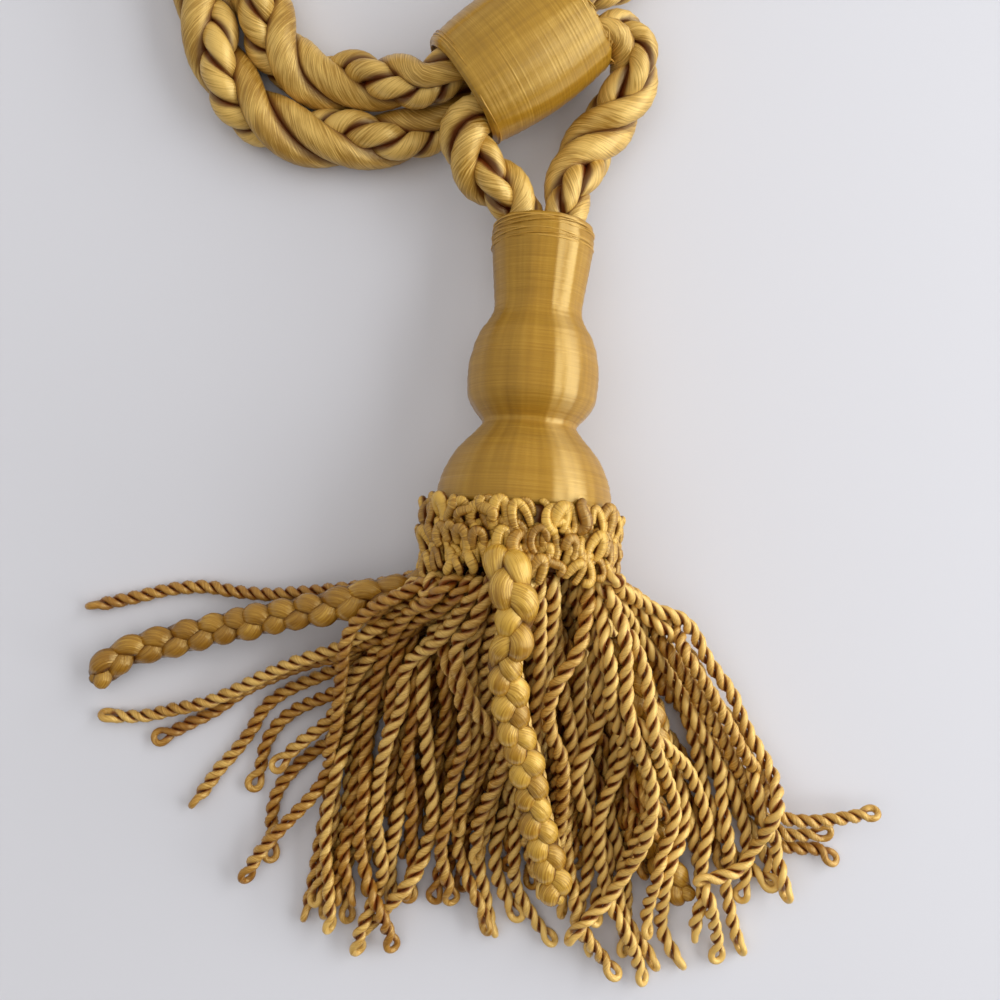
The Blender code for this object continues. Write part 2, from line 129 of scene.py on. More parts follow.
def smooth_route(rows, spacing):
    """Points along a Catmull-Rom curve through the rows, about evenly spaced."""
    rows = np.array(rows, float)
    knots = np.vstack([2 * rows[0] - rows[1], rows, 2 * rows[-1] - rows[-2]])
    a, b, c, d = (knots[i:len(knots) - 3 + i][:, None, :] for i in range(4))
    t = (np.arange(16) / 16)[None, :, None]
    fine = 0.5 * (2 * b + (c - a) * t + (2 * a - 5 * b + 4 * c - d) * t ** 2
                  + (3 * b - a - 3 * c + d) * t ** 3)
    fine = np.vstack([fine.reshape(-1, rows.shape[1]), rows[-1:]])
    return respaced(fine, spacing)


def respaced(line, spacing):
    """The same line with its points evenly spaced."""
    along = lengths_along(line)
    at = np.linspace(0, along[-1], max(4, round(along[-1] / spacing) + 1))
    return np.stack([np.interp(at, along, line[:, k]) for k in range(line.shape[1])], axis=1)


def lengths_along(line):
    """How far along the line each of its points lies."""
    return np.concatenate([[0], np.cumsum(np.linalg.norm(np.diff(line[:, :3], axis=0), axis=1))])


def unit(vectors):
    """The same directions, each of length one."""
    return vectors / np.maximum(np.linalg.norm(vectors, axis=-1, keepdims=True), 1e-12)


def cross_frames(line, first=(0.0, 0.0, 1.0)):
    """Tangent and two normals at each point, carried along without twist."""
    tangent = unit(np.gradient(line[:, :3], axis=0))
    normal = np.zeros_like(tangent)
    start = np.array(first, float)
    if abs(start @ tangent[0]) > 0.95:
        start = np.array((1.0, 0.0, 0.0))
    normal[0] = unit(start - (start @ tangent[0]) * tangent[0])
    for i in range(1, len(line)):
        carried = normal[i - 1] - (normal[i - 1] @ tangent[i]) * tangent[i]
        normal[i] = carried / np.linalg.norm(carried)
    return tangent, normal, np.cross(tangent, normal)


def filament_ridges(count, sides, depth, rng):
    """Slight ridges where the filaments of a yarn lie in bundles: a factor on its radius."""
    hold = 12                    # rings over which one set of bundles turns into the next
    bundles = rng.normal(0, depth, (count // hold + 3, sides))
    at = np.arange(count) / hold
    low = at.astype(int)
    share = (at - low)[:, None]
    return 1 + bundles[low] * (1 - share) + bundles[low + 1] * share


def strand(line, outward, thick, wide, sides, tone, skew=0.0, shade=1.0, wrapped=False, ridges=1.0,
           sunk=0.0):
    """A yarn swept along a line: an oval section whose thickness lies along outward.

    Its UV map is in millimetres, across the filaments and along them, with the seam on the
    inner side. The filaments run along the yarn and lean by skew, or run round it if the yarn is
    wrapped. The depth values say how deep the surface lies between yarns, and the material turns
    them into painted shade: shade is the share that its inner side has, ridges sink between the
    bundles, and sunk adds to whole rings.
    """
    count = len(line)
    tangent = unit(np.gradient(line, axis=0))
    out = unit(outward - (outward * tangent).sum(1, keepdims=True) * tangent)
    side = np.cross(tangent, out)
    thick = np.broadcast_to(np.asarray(thick, float), (count,)).copy()
    wide = np.broadcast_to(np.asarray(wide, float), (count,)).copy()
    for share, place in ((0.35, 0), (0.8, 1)):
        for index in (place, count - 1 - place):
            thick[index] *= share
            wide[index] *= share
    angle = math.pi + 2 * math.pi * np.arange(sides) / sides
    ridges = np.broadcast_to(ridges, (count, sides))
    ring = (line[:, None, :] + (thick[:, None] * ridges * np.cos(angle))[:, :, None] * out[:, None, :]
            + (wide[:, None] * ridges * np.sin(angle))[:, :, None] * side[:, None, :])
    verts = np.vstack([ring.reshape(-1, 3), line[:1], line[-1:]])
    i, j = np.meshgrid(np.arange(count - 1), np.arange(sides), indexing="ij")
    i, j = i.ravel(), j.ravel()
    k = (j + 1) % sides
    quads = np.stack([i * sides + j, i * sides + k, (i + 1) * sides + k, (i + 1) * sides + j], 1)
    j = np.arange(sides)
    k = (j + 1) % sides
    start, end = count * sides, count * sides + 1
    caps = np.vstack([np.stack([k, j, np.full(sides, start)], 1),
                      np.stack([(count - 1) * sides + j, (count - 1) * sides + k, np.full(sides, end)], 1)])
    girth = math.pi * (thick.mean() + wide.mean())
    along = lengths_along(line)
    i, j = quads[:, 0] // sides, quads[:, 0] % sides
    around = girth / sides
    v0, v1 = along[i], along[i + 1]
    u0, u1 = j * around, (j + 1) * around
    quad_uv = np.stack([u0 + skew * v0, v0, u1 + skew * v0, v0, u1 + skew * v1, v1, u0 + skew * v1, v1], 1)
    quad_uv = quad_uv.reshape(-1, 2)
    if wrapped:
        quad_uv = quad_uv[:, ::-1]
    shade = np.broadcast_to(np.asarray(shade, float), (count,))
    # Painted shade: depth between yarns, more on the inner side and in the grooves between bundles.
    painted_shade_depth = shade[:, None] * (1 - np.cos(angle)) / 2 + 2.5 * np.clip(1 - ridges, 0, 1)
    painted_shade_depth = painted_shade_depth + np.broadcast_to(np.asarray(sunk, float), (count,))[:, None]
    tones = np.repeat(np.broadcast_to(np.asarray(tone, float), (count,)), sides)
    return {"verts": verts, "quads": quads, "caps": caps, "quad_uv": quad_uv,
            "tone": np.concatenate([tones, (0.5, 0.5)]),
            "painted_shade_depth": np.concatenate([painted_shade_depth.ravel(), (0.5, 0.5)])}


def yarn_object(name, strands, material):
    """One mesh of many strands, in metres, with their UV map, tone and depth for painted shade."""
    verts, loops, starts, totals, uvs, tones, painted_shade_depth = [], [], [], [], [], [], []
    base, loop_base = 0, 0
    for part in strands:
        verts.append(part["verts"])
        for faces, uv in ((part["quads"], part["quad_uv"]), (part["caps"], None)):
            size = faces.shape[1]
            loops.append((faces + base).ravel())
            starts.append(loop_base + size * np.arange(len(faces)))
            totals.append(np.full(len(faces), size))
            uvs.append(np.zeros((faces.size, 2)) if uv is None else uv)
            loop_base += faces.size
        tones.append(part["tone"])
        painted_shade_depth.append(part["painted_shade_depth"])
        base += len(part["verts"])
    mesh = bpy.data.meshes.new(name)
    points = np.vstack(verts) * MM
    loops, starts, totals = (np.concatenate(x).astype(np.int32) for x in (loops, starts, totals))
    mesh.vertices.add(len(points))
    mesh.vertices.foreach_set("co", points.astype(np.float32).ravel())
    mesh.loops.add(len(loops))
    mesh.loops.foreach_set("vertex_index", loops)
    mesh.polygons.add(len(starts))
    mesh.polygons.foreach_set("loop_start", starts)
    mesh.polygons.foreach_set("loop_total", totals)
    mesh.update(calc_edges=True)
    mesh.validate()
    mesh.uv_layers.new(name="yarn").data.foreach_set("uv", np.vstack(uvs).astype(np.float32).ravel())
    for label, values in (("tone", tones), ("painted_shade_depth", painted_shade_depth)):
        layer = mesh.attributes.new(label, "FLOAT", "POINT")
        layer.data.foreach_set("value", np.concatenate(values).astype(np.float32))
    mesh.polygons.foreach_set("use_smooth", np.ones(len(starts), bool))
    mesh.materials.append(material)
    obj = bpy.data.objects.new(name, mesh)
    bpy.context.scene.collection.objects.link(obj)
    return obj


def rested(strands):
    """Presses whatever would pass below the table top flat against it."""
    pressed_below = 0.35
    for part in strands:
        height = part["verts"][:, 2]
        low = height < pressed_below
        part["verts"][low, 2] = 0.05 + 0.3 * np.exp((height[low] - pressed_below) / 0.6)
    return strands


def three_tones(tree, value, places, colours):
    """A ramp over the value: dark, middle and light colours at three places."""
    ramp = add_node(tree, "ShaderNodeValToRGB", {}, {"Fac": value})
    first, last = ramp.color_ramp.elements
    first.position, last.position = places[0], places[2]
    first.color, last.color = linear(colours[0]), linear(colours[2])
    ramp.color_ramp.elements.new(places[1]).color = linear(colours[1])
    return ramp


def viscose_shine(tree, colour, bump, roughness, anisotropy):
    """Surface of continuous viscose filament: a golden glint drawn out across the filaments."""
    shader = tree.nodes["Principled BSDF"]
    glint = add_node(tree, "ShaderNodeTangent", {"direction_type": "UV_MAP", "uv_map": "yarn"})
    shader.inputs["Roughness"].default_value = roughness
    shader.inputs["IOR"].default_value = 1.72
    shader.inputs["Specular IOR Level"].default_value = 1.0
    shader.inputs["Specular Tint"].default_value = linear("#ffe8a6")
    shader.inputs["Anisotropic"].default_value = anisotropy
    tree.links.new(colour, shader.inputs["Base Color"])
    tree.links.new(bump.outputs["Normal"], shader.inputs["Normal"])
    tree.links.new(glint.outputs["Tangent"], shader.inputs["Tangent"])


def mixed(tree, share, colour, other):
    """The colour turned into the other, a hex colour, by the share."""
    mix = add_node(tree, "ShaderNodeMix", {"data_type": "RGBA"}, {"Factor": share})
    colour_a, colour_b, colour_out = 6, 7, 2      # the node has several sockets of each name
    tree.links.new(colour, mix.inputs[colour_a])
    mix.inputs[colour_b].default_value = linear(other)
    return mix.outputs[colour_out]


def satin(name, dark, middle, light, painted_shade_colour, roughness, streak_mm, bump_mm, tone_share=0.5,
          hidden_from=0.3, hidden_to=0.66):
    """Viscose yarn in a continuous filament: a soft glint across the filaments, faint streaks along.

    Where the surface lies deep between two yarns, the colour is painted deep red-brown: painted shade in the
    crevices.
    """
    material = bpy.data.materials.new(name)
    material.use_nodes = True
    tree = material.node_tree
    uv = add_node(tree, "ShaderNodeUVMap", {"uv_map": "yarn"})
    tone = add_node(tree, "ShaderNodeAttribute", {"attribute_name": "tone"})
    painted_shade_depth = add_node(tree, "ShaderNodeAttribute", {"attribute_name": "painted_shade_depth"})
    along = add_node(tree, "ShaderNodeMapping", {"Scale": (1 / streak_mm, 0.06 / streak_mm, 1.0)},
                     {"Vector": (uv, "UV")})
    streaks = add_node(tree, "ShaderNodeTexNoise", {"Scale": 1.0, "Detail": 3.0, "Roughness": 0.65},
                       {"Vector": (along, "Vector")})
    place = add_node(tree, "ShaderNodeTexCoord")
    patch = add_node(tree, "ShaderNodeTexNoise", {"Scale": 1 / (9.0 * MM), "Detail": 1.0},
                     {"Vector": (place, "Object")})
    summed = add_node(tree, "ShaderNodeMath", {"operation": "MULTIPLY_ADD", 1: 0.45},
                      {0: (patch, "Fac"), 2: (streaks, "Fac")})
    toned = add_node(tree, "ShaderNodeMath", {"operation": "MULTIPLY_ADD", 1: tone_share},
                     {0: (tone, "Fac"), 2: (summed, "Value")})
    ramp = three_tones(tree, (toned, "Value"), (0.50, 0.78, 1.0), (dark, middle, light))
    # Painted shade: the colour turns deep red-brown where the surface lies deep between yarns.
    between = add_node(tree, "ShaderNodeMapRange",
                       {"interpolation_type": "SMOOTHSTEP", "From Min": hidden_from, "From Max": hidden_to},
                       {"Value": (painted_shade_depth, "Fac")})
    with_painted_shade = mixed(tree, (between, "Result"), ramp.outputs["Color"], painted_shade_colour)
    bump = add_node(tree, "ShaderNodeBump", {"Strength": 1.0, "Distance": bump_mm * MM},
                    {"Height": (streaks, "Fac")})
    viscose_shine(tree, with_painted_shade, bump, roughness, 0.9)
    return material


# Loose satin viscose: long straight filaments, so it shines like floss and shows fine lines.
rope_satin = satin("loose_satin_viscose_rope", "#764810", "#a27628", "#dcb460", "#561f05",
                   0.31, 0.42, 0.12, hidden_from=0.22, hidden_to=0.56)


def attach(piece, node):
    """The piece lies still and stands for one of the part's nodes, which is hidden."""
    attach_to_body(piece, "root")
    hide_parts(node)


def laid_rope(name, route, pitch, phase, cabled_phase, seed):
    """Three plies round one line. Returns the piece and the line."""
    rng = np.random.default_rng(seed)
    line = smooth_route(route, 0.9)
    tangent, normal, cross = cross_frames(line)
    along = lengths_along(line)
    size = line[:, 3] / ROPE_RADIUS
    turn = phase + 2 * math.pi * along / pitch
    every_other = slice(None, None, 2)
    strands = []
    for ply in range(2):
        angle = turn + ply * 2 * math.pi / 3
        out = np.cos(angle)[:, None] * normal + np.sin(angle)[:, None] * cross
        wander = (1 + 0.04 * np.sin(along / 11 + rng.uniform(0, 6))
                  + 0.025 * np.sin(along / 4.3 + rng.uniform(0, 6)))
        middle = (line[:, :3] + (FAT_OFFSET * size)[:, None] * out)[every_other]
        tone = rng.uniform(0.1, 0.4)
        strands.append(strand(middle, out[every_other], (FAT_HALF_THICK * size * wander)[every_other],
                              (FAT_HALF_WIDE * size / wander)[every_other], 44, tone, skew=-0.5,
                              ridges=filament_ridges(len(middle), 44, 0.012, rng)))
    angle = turn + 4 * math.pi / 3
    out = np.cos(angle)[:, None] * normal + np.sin(angle)[:, None] * cross
    middle = line[:, :3] + (CABLED_OFFSET * size)[:, None] * out
    ply_tangent = unit(np.gradient(middle, axis=0))
    out = unit(out - (out * ply_tangent).sum(1, keepdims=True) * ply_tangent)
    side = np.cross(ply_tangent, out)
    spin = cabled_phase - 2 * math.pi * lengths_along(middle) / CABLED_PITCH
    for number in range(2):
        angle = spin + number * math.pi
        away = np.cos(angle)[:, None] * out + np.sin(angle)[:, None] * side
        path = middle + (STRAND_OFFSET * size)[:, None] * away
        tone = rng.uniform(0.1, 0.5)
        strands.append(strand(path, away, STRAND_RADIUS * size * 0.95, STRAND_RADIUS * size * 1.12, 20,
                              tone, skew=0.3, ridges=filament_ridges(len(path), 20, 0.012, rng)))
    piece = yarn_object(name, rested(strands), rope_satin)
    attach(piece, name.replace("_rope", ""))
    return piece, line[:, :3]


for rope_name, rope_route, rope_pitch, rope_phase, rope_cabled, rope_seed in (
        ("embrace_inner_rope", EMBRACE_INNER, 42.0, 3.44, 0.0, 11),
        ("embrace_outer_rope", EMBRACE_OUTER, 46.0, 3.17, 1.1, 12),
        ("hanging_ring_rope", HANGING_RING, 34.5, 5.28, 0.6, 13)):
    rope, rope_line = laid_rope(rope_name, rope_route, rope_pitch, rope_phase, rope_cabled, rope_seed)


# ---------------------------------------------------------------- bullion fringe
# Bullion: yarn twisted hard and let run back on itself, so that each drop is a 2-ply cord of
# 3.7 mm with a small eye at its foot. About ninety drops hang from a heading in the ruff.
BULLION_RADIUS = 1.85
PLY_OFFSET = 0.98                # middle of one ply, from the drop's middle
PLY_RADIUS = 0.91
EYE_RADIUS = 1.55                # middle of the yarn where it turns round the eye
FLOSS_RADIUS = 3.6               # what the bullion meets where it settles against a floss drop

# The bunch's upper side: y, left edge, right edge, top.
BUNCH = np.array([
    (-125.0, -60.0, 66.0, 3.0), (-110.0, -58.0, 66.0, 3.2), (-100.0, -55.0, 66.0, 4.2),
    (-90.0, -50.0, 66.0, 6.0), (-79.0, -47.5, 60.0, 9.5), (-70.0, -46.0, 57.0, 13.5),
    (-56.0, -43.0, 51.0, 20.5), (-42.0, -41.0, 44.5, 28.0), (-28.0, -37.0, 36.0, 36.0),
    (-17.0, -28.0, 27.0, 41.5), (-8.0, -24.0, 24.0, 44.0), (10.0, -24.0, 24.0, 46.0),
])

# Upper drops as they lie: how high in the bunch, then x, y from the ruff to the eye.
UPPER_DROPS = [
    (0.98, [(-13, -7), (-19, -9.5), (-25, -13.5), (-29, -19), (-31.5, -24), (-33.5, -30), (-35.5, -38),
            (-37, -48), (-37.2, -58), (-38.6, -66), (-38.7, -74), (-37.3, -80.5), (-34.5, -87),
            (-32, -95), (-30.6, -102)]),
    (0.95, [(-10, -7), (-16, -11), (-22, -14), (-26, -18), (-28.3, -22), (-29.5, -29), (-30.5, -37),
            (-31.5, -45), (-33.5, -52), (-36, -60), (-39.5, -66), (-42.5, -73), (-42.5, -80),
            (-41, -86), (-40.5, -92)]),
    (0.97, [(-9, -7), (-13, -12), (-16.5, -17.5), (-20, -21.5), (-24.5, -24.5), (-27, -28.5),
            (-27.2, -34), (-28.6, -39), (-31, -44.5), (-32.5, -50), (-33.8, -57), (-34.5, -64),
            (-34.6, -70), (-33.2, -76), (-34.2, -83), (-37.5, -91), (-40, -97), (-39.6, -102.5)]),
    (1.04, [(-6.5, -7), (-9, -13), (-12, -17.5), (-14.5, -21), (-14.2, -26), (-12.5, -31), (-10, -36.5),
            (-6.5, -41), (-4, -46), (-4.2, -52), (-7, -58.5), (-9.6, -65), (-10.3, -72), (-10.5, -78)]),
    (0.97, [(-11, -7), (-13.5, -12), (-16.8, -16), (-18, -20.5), (-17, -25), (-15, -29.5), (-13.6, -34),
            (-12.8, -40), (-13, -46.5), (-15.5, -53), (-16.6, -60), (-17.6, -66), (-19, -72),
            (-18.5, -78), (-17, -84), (-16, -90)]),
    (0.92, [(-15, -7), (-20.5, -12), (-24.5, -17), (-26, -21.5), (-25.5, -30), (-24.6, -38),
            (-25.5, -46), (-25.1, -54), (-25.3, -62), (-27, -70), (-27.3, -77), (-28.6, -85), (-31, -89.5)]),
    (0.92, [(-12, -9), (-17, -15), (-21, -20), (-22, -28), (-22, -36), (-21.8, -44), (-22.5, -52),
            (-22.2, -60), (-22, -66), (-22.8, -72), (-24.3, -79), (-28, -84.5), (-31, -88.5),
            (-35.5, -92.5), (-38, -95.5)]),
    (0.85, [(-8, -9), (-15.5, -20), (-18.8, -27), (-17.6, -34), (-17, -42), (-18.5, -50), (-20, -58),
            (-20.3, -66), (-20.5, -74), (-21.5, -82), (-22, -92)]),
    (0.95, [(-5, -9), (-11, -22), (-11, -32), (-10.8, -42), (-11.2, -52), (-13.3, -60), (-15.2, -69)]),
    (0.85, [(-4, -10), (-8, -25), (-9, -38), (-9.5, -50), (-11, -60), (-13, -68), (-13.2, -76),
            (-11.5, -84), (-9.5, -91), (-9, -99)]),
    (0.80, [(-3, -10), (-5, -28), (-6, -42), (-7.5, -56), (-9, -68), (-9.5, -76), (-7.2, -83),
            (-6.2, -90), (-5, -96.5)]),
    (0.80, [(-17, -7), (-25, -12), (-33, -20), (-39, -31), (-43.5, -43), (-47.5, -54), (-49.3, -64),
            (-49.5, -76), (-50, -87), (-52.8, -94.5)]),
    (0.90, [(-15, -7), (-24, -12), (-31.5, -19), (-36.5, -30), (-40, -40), (-43.5, -52), (-45.3, -64),
            (-46.5, -76), (-47.3, -87), (-48.2, -96.5)]),
    (0.70, [(-14, -8), (-23, -15), (-31, -26), (-36, -38), (-41, -50), (-44, -60), (-45.4, -70),
            (-46, -80), (-46.4, -92)]),
    (0.60, [(-12, -8), (-22, -18), (-30, -32), (-36, -46), (-40, -58), (-42, -70), (-41, -82),
            (-40.4, -93)]),
    (0.88, [(-17, -7), (-24, -9), (-30, -11.5), (-34.5, -16), (-35.8, -21), (-34.5, -26), (-32.2, -31.5),
            (-31.3, -37), (-31.5, -44), (-32.5, -52), (-33.5, -60), (-36, -70), (-36.5, -80), (-35.5, -90)]),
    (0.75, [(-1, -10), (-3, -26), (-3.5, -42), (-4.5, -56), (-3, -66), (-1.7, -74), (0, -82),
            (3.5, -88), (7, -94), (10.3, -98.5)]),
    (0.65, [(0, -10), (-1, -28), (-1.5, -45), (-2.5, -58), (-4.5, -68), (-3.5, -78), (-1.5, -86),
            (1, -92.5)]),
    (0.70, [(2, -10), (3, -28), (4, -44), (6, -58), (9, -68), (11.5, -78), (13, -88), (12, -96)]),
    (0.85, [(7, -7), (8, -16), (9, -24), (10.5, -34), (11.3, -44), (11, -54), (11.5, -64), (13, -74),
            (14.5, -84), (15.5, -93), (18, -99), (22, -105), (24.4, -107.3)]),
    (1.00, [(15.5, -7), (15.3, -12), (14.3, -17), (13.3, -22), (10.8, -26), (8.5, -29.5), (7, -33.5),
            (6.4, -38), (7.5, -43), (9.6, -48), (10.4, -56), (10, -66), (9.4, -76), (10, -84), (11, -91)]),
    (0.92, [(6.5, -7), (7.2, -12), (7, -18), (6.6, -24), (6.2, -31), (6.6, -40), (7.6, -50), (8, -60),
            (7.5, -70), (7, -80), (6.5, -88)]),
    (0.98, [(18.5, -8), (18.4, -14), (18.6, -19), (20.2, -24.5), (20.9, -30), (20.3, -34.5),
            (21.8, -38.5), (24, -43), (24.6, -49), (22.4, -56), (20, -62), (19.4, -70), (20.4, -79),
            (22.6, -87), (26.3, -94), (29, -101), (31.2, -108.5)]),
    (1.03, [(21, -8), (22, -14), (23.5, -19.5), (24, -26), (24, -32), (25, -38.5), (27, -44),
            (29.5, -50.5), (31.2, -57), (30.6, -65), (28.3, -73), (24.5, -80), (20.3, -86.5),
            (14, -92), (10.6, -97.5)]),
    (0.97, [(23.5, -9), (26, -16), (29, -21.5), (33, -26), (37, -30.5), (39.5, -36), (42.5, -41.5),
            (46, -47.5), (49, -53.5), (49.4, -60), (50.6, -68), (51.4, -75), (51, -82), (52, -88),
            (53.5, -94.5), (55.3, -99.5), (57, -105)]),
    (0.93, [(24, -8.5), (29, -15), (34, -18.5), (39, -23), (43.5, -28.5), (46.3, -35.5), (51, -42),
            (54.5, -48.5), (56.5, -55), (59, -63), (62, -68), (64, -72), (65.2, -79), (66.8, -85),
            (66, -91)]),
    (1.08, [(23, -8), (28, -12), (35, -15.5), (40.5, -17.5), (43.5, -23), (47.5, -29.5), (52, -35.5),
            (54.5, -41.5), (57.5, -47.5), (61.6, -54.5), (62.6, -60), (61, -65), (58.5, -71.5), (54, -78),
            (48, -80), (40.5, -81)]),
    (0.90, [(16, -9), (18, -20), (22, -30), (26, -38), (29.5, -42), (35.3, -48), (39.5, -53.5),
            (42.5, -60), (45.3, -66.5), (46, -72), (45.3, -78), (47, -83), (48.3, -89.5), (49.7, -95),
            (49, -100), (48.6, -105)]),
    (0.97, [(22.5, -12), (27, -24), (29.5, -34), (31, -44), (34, -52.5), (37, -60), (36.6, -67.5),
            (34, -75), (33, -81), (31.5, -87.5), (31.4, -94), (33.3, -99.5)]),
    (0.80, [(20, -12), (26, -28), (31, -42), (36, -54), (39, -64), (39, -72), (37, -79), (37.2, -87),
            (36.2, -94), (38, -101), (39.8, -104.5)]),
    (0.90, [(17, -10), (16.5, -20), (17.5, -30), (18.6, -38), (16.5, -44.5), (14.8, -51), (14.8, -56),
            (16.5, -61), (19.5, -67), (21.8, -73), (21.8, -79), (19, -85), (16.5, -90), (17.5, -96)]),
    (0.80, [(14, -11), (14.5, -24), (15, -38), (17.2, -48), (17.8, -56), (16, -65), (15.4, -72),
            (15.7, -79), (15.2, -88), (17.5, -95.5), (19.7, -101)]),
    (0.80, [(24, -12), (31, -22), (37, -33), (40.5, -42), (44, -50), (47, -58), (49, -64), (51.5, -71),
            (53.5, -77), (58, -80.5), (62.5, -84)]),
    (0.85, [(25, -12), (33, -21), (39.5, -30), (43.5, -38), (48, -46), (52, -54), (54.8, -61.5),
            (56.3, -68), (55.5, -74), (54.5, -81), (53.2, -88)]),
    (0.70, [(21, -14), (28, -28), (34, -40), (38.5, -50), (41, -60), (42.5, -68), (42, -76), (43, -84),
            (42.5, -92), (44.3, -97)]),
    (0.70, [(18, -14), (24, -30), (28, -45), (29, -60), (27.5, -72), (26.5, -84), (28.6, -94),
            (31, -100), (34, -108.5)]),
    (0.60, [(16, -14), (20, -32), (22.5, -48), (24.5, -62), (25, -74), (24, -86), (25.5, -98), (27, -105.5)]),
    (0.75, [(26, -14), (35, -24), (41, -34), (45, -44), (50, -54), (53, -62), (57, -70), (60, -78),
            (62, -86)]),
    (0.75, [(-16, -10), (-27, -20), (-33, -32), (-37.5, -44), (-41.5, -56), (-43.4, -68), (-44, -80),
            (-43.6, -90)]),
    (0.70, [(-13, -12), (-22, -24), (-26.5, -38), (-29, -52), (-31, -64), (-30.5, -76), (-29.5, -86),
            (-28.8, -93)]),
    (0.70, [(-9, -12), (-15, -28), (-17, -44), (-19, -58), (-21, -70), (-24, -80), (-26, -88)]),
    (0.80, [(-19, -8), (-26, -10), (-33, -14), (-38, -21), (-40, -29), (-41.5, -38), (-44.5, -47),
            (-46.8, -58), (-47.8, -70), (-48.5, -82), (-49.5, -90)]),
    (1.08, [(-4, -7), (-3.6, -16), (-5.8, -24), (-4.8, -31), (-4.2, -38), (-2.0, -45), (-0.2, -54),
            (1.2, -62), (3.4, -70), (5.6, -79)]),
    (1.08, [(2, -7), (0.8, -16), (-1.4, -24), (0.0, -31), (0.6, -38), (3.0, -45), (4.8, -54), (6.0, -62),
            (8.2, -70), (9.6, -79)]),
    (0.97, [(-1, -8), (-1.4, -18), (-3.6, -26), (-2.0, -35), (0.0, -44), (2.4, -54), (4.0, -63), (6.4, -73)]),
    (0.93, [(-5, -8), (-6.5, -20), (-7.5, -30), (-6.5, -40), (-4.0, -50), (-2.0, -60), (1.0, -70),
            (4.0, -80)]),
    (0.93, [(4, -8), (4.5, -20), (4.0, -30), (3.0, -42), (5.5, -54), (7.0, -66), (8.5, -78)]),
]

# Drops that stray from the bunch: x, y, z under the others, then the stretch that lies free.
STRAY_DROPS = {
    "bullion_left_1": (
        [(-14.0, -4.0, 16.0)],
        [(-25.6, -6.6, 15.5), (-33.0, -8.2, 14.5), (-43.9, -9.7, 12.5), (-53.5, -10.7, 9.2),
         (-61.0, -11.4, 6.0), (-69.2, -10.9, 3.8), (-78.7, -9.7, 2.2), (-88.0, -10.7, 1.9),
         (-97.5, -12.9, 1.9), (-107.2, -14.6, 1.9)]),
    "bullion_left_2": (
        [(-16.0, -7.0, 33.0), (-29.0, -14.5, 25.5)],
        [(-41.0, -22.4, 17.5), (-54.8, -27.6, 13.0), (-64.0, -32.0, 9.4), (-72.3, -36.2, 6.6),
         (-78.6, -38.4, 5.8), (-85.6, -40.0, 3.6), (-94.6, -42.0, 1.9), (-104.0, -41.4, 1.9)]),
    "bullion_left_3": (
        [(-17.0, -7.0, 27.0), (-30.0, -16.5, 19.5)],
        [(-42.0, -25.2, 12.0), (-50.8, -27.8, 8.0), (-59.7, -31.4, 4.4), (-68.4, -35.6, 2.4),
         (-75.2, -40.4, 1.9), (-81.7, -43.6, 1.9), (-88.0, -46.8, 1.9), (-94.6, -49.0, 1.9)]),
    "bullion_left_4": (
        [(-17.5, -7.0, 21.0), (-31.0, -18.5, 13.5)],
        [(-43.2, -28.4, 7.4), (-50.4, -32.2, 4.4), (-57.8, -35.6, 2.8), (-63.4, -40.2, 1.9),
         (-67.0, -46.4, 1.9), (-70.9, -51.2, 1.9), (-75.5, -56.4, 1.9), (-79.2, -61.8, 1.9),
         (-82.8, -65.8, 1.9)]),
    "bullion_left_5": (
        [(-16.5, -7.0, 15.5), (-26.0, -14.5, 14.0), (-36.0, -25.0, 10.5)],
        [(-44.6, -34.8, 7.6), (-51.0, -38.0, 5.0), (-57.0, -41.4, 2.4), (-61.8, -46.6, 1.9),
         (-63.8, -52.6, 1.9), (-64.8, -57.8, 1.9), (-67.6, -61.8, 1.9)]),
    "bullion_left_6": (
        [(-14.0, -7.0, 30.0), (-27.0, -16.0, 21.0), (-38.0, -29.0, 13.5)],
        [(-45.2, -40.6, 9.0), (-50.4, -45.2, 7.2), (-56.2, -50.2, 5.6), (-60.6, -54.6, 5.4)]),
    "bullion_left_7": (
        [(-14.0, -7.0, 11.0), (-29.0, -19.0, 8.0), (-39.0, -34.0, 5.0)],
        [(-45.8, -46.4, 3.6), (-51.6, -51.2, 2.2), (-57.4, -56.8, 1.9), (-61.0, -63.6, 1.9),
         (-61.2, -71.6, 1.9), (-62.0, -80.0, 1.9)]),
    "bullion_left_8": (
        [(-15.0, -7.0, 36.0), (-30.0, -11.0, 29.0), (-39.2, -18.0, 23.5), (-42.2, -29.0, 17.5),
         (-43.6, -39.5, 12.5)],
        [(-46.0, -52.2, 6.4), (-49.0, -58.6, 6.2), (-54.4, -64.8, 6.4), (-60.9, -71.4, 6.5),
         (-66.4, -79.0, 4.6), (-69.1, -86.2, 2.2)]),
    "bullion_right_1": (
        [(18.0, -6.0, 27.0), (31.0, -16.5, 24.0), (40.0, -26.0, 19.0), (48.0, -38.0, 15.0),
         (55.0, -51.0, 12.0)],
        [(61.4, -63.2, 10.4), (67.0, -65.8, 10.2), (74.0, -66.2, 9.4), (83.0, -65.2, 8.0),
         (92.0, -64.0, 6.6)]),
    "bullion_right_2": (
        [(17.0, -6.0, 23.0), (30.0, -18.0, 19.0), (41.0, -32.0, 14.5), (50.0, -47.0, 10.5),
         (56.5, -60.0, 7.0)],
        [(62.2, -68.8, 5.6), (67.8, -70.8, 4.8), (73.0, -70.6, 4.2), (79.4, -69.8, 3.8)]),
    "bullion_right_3": (
        [(15.0, -6.0, 13.0), (30.0, -24.0, 8.5), (43.0, -43.0, 5.5), (54.0, -61.0, 3.5)],
        [(64.6, -74.4, 2.2), (69.0, -74.4, 1.9), (73.2, -74.6, 1.9), (77.2, -76.6, 1.9),
         (80.6, -79.6, 1.9)]),
}

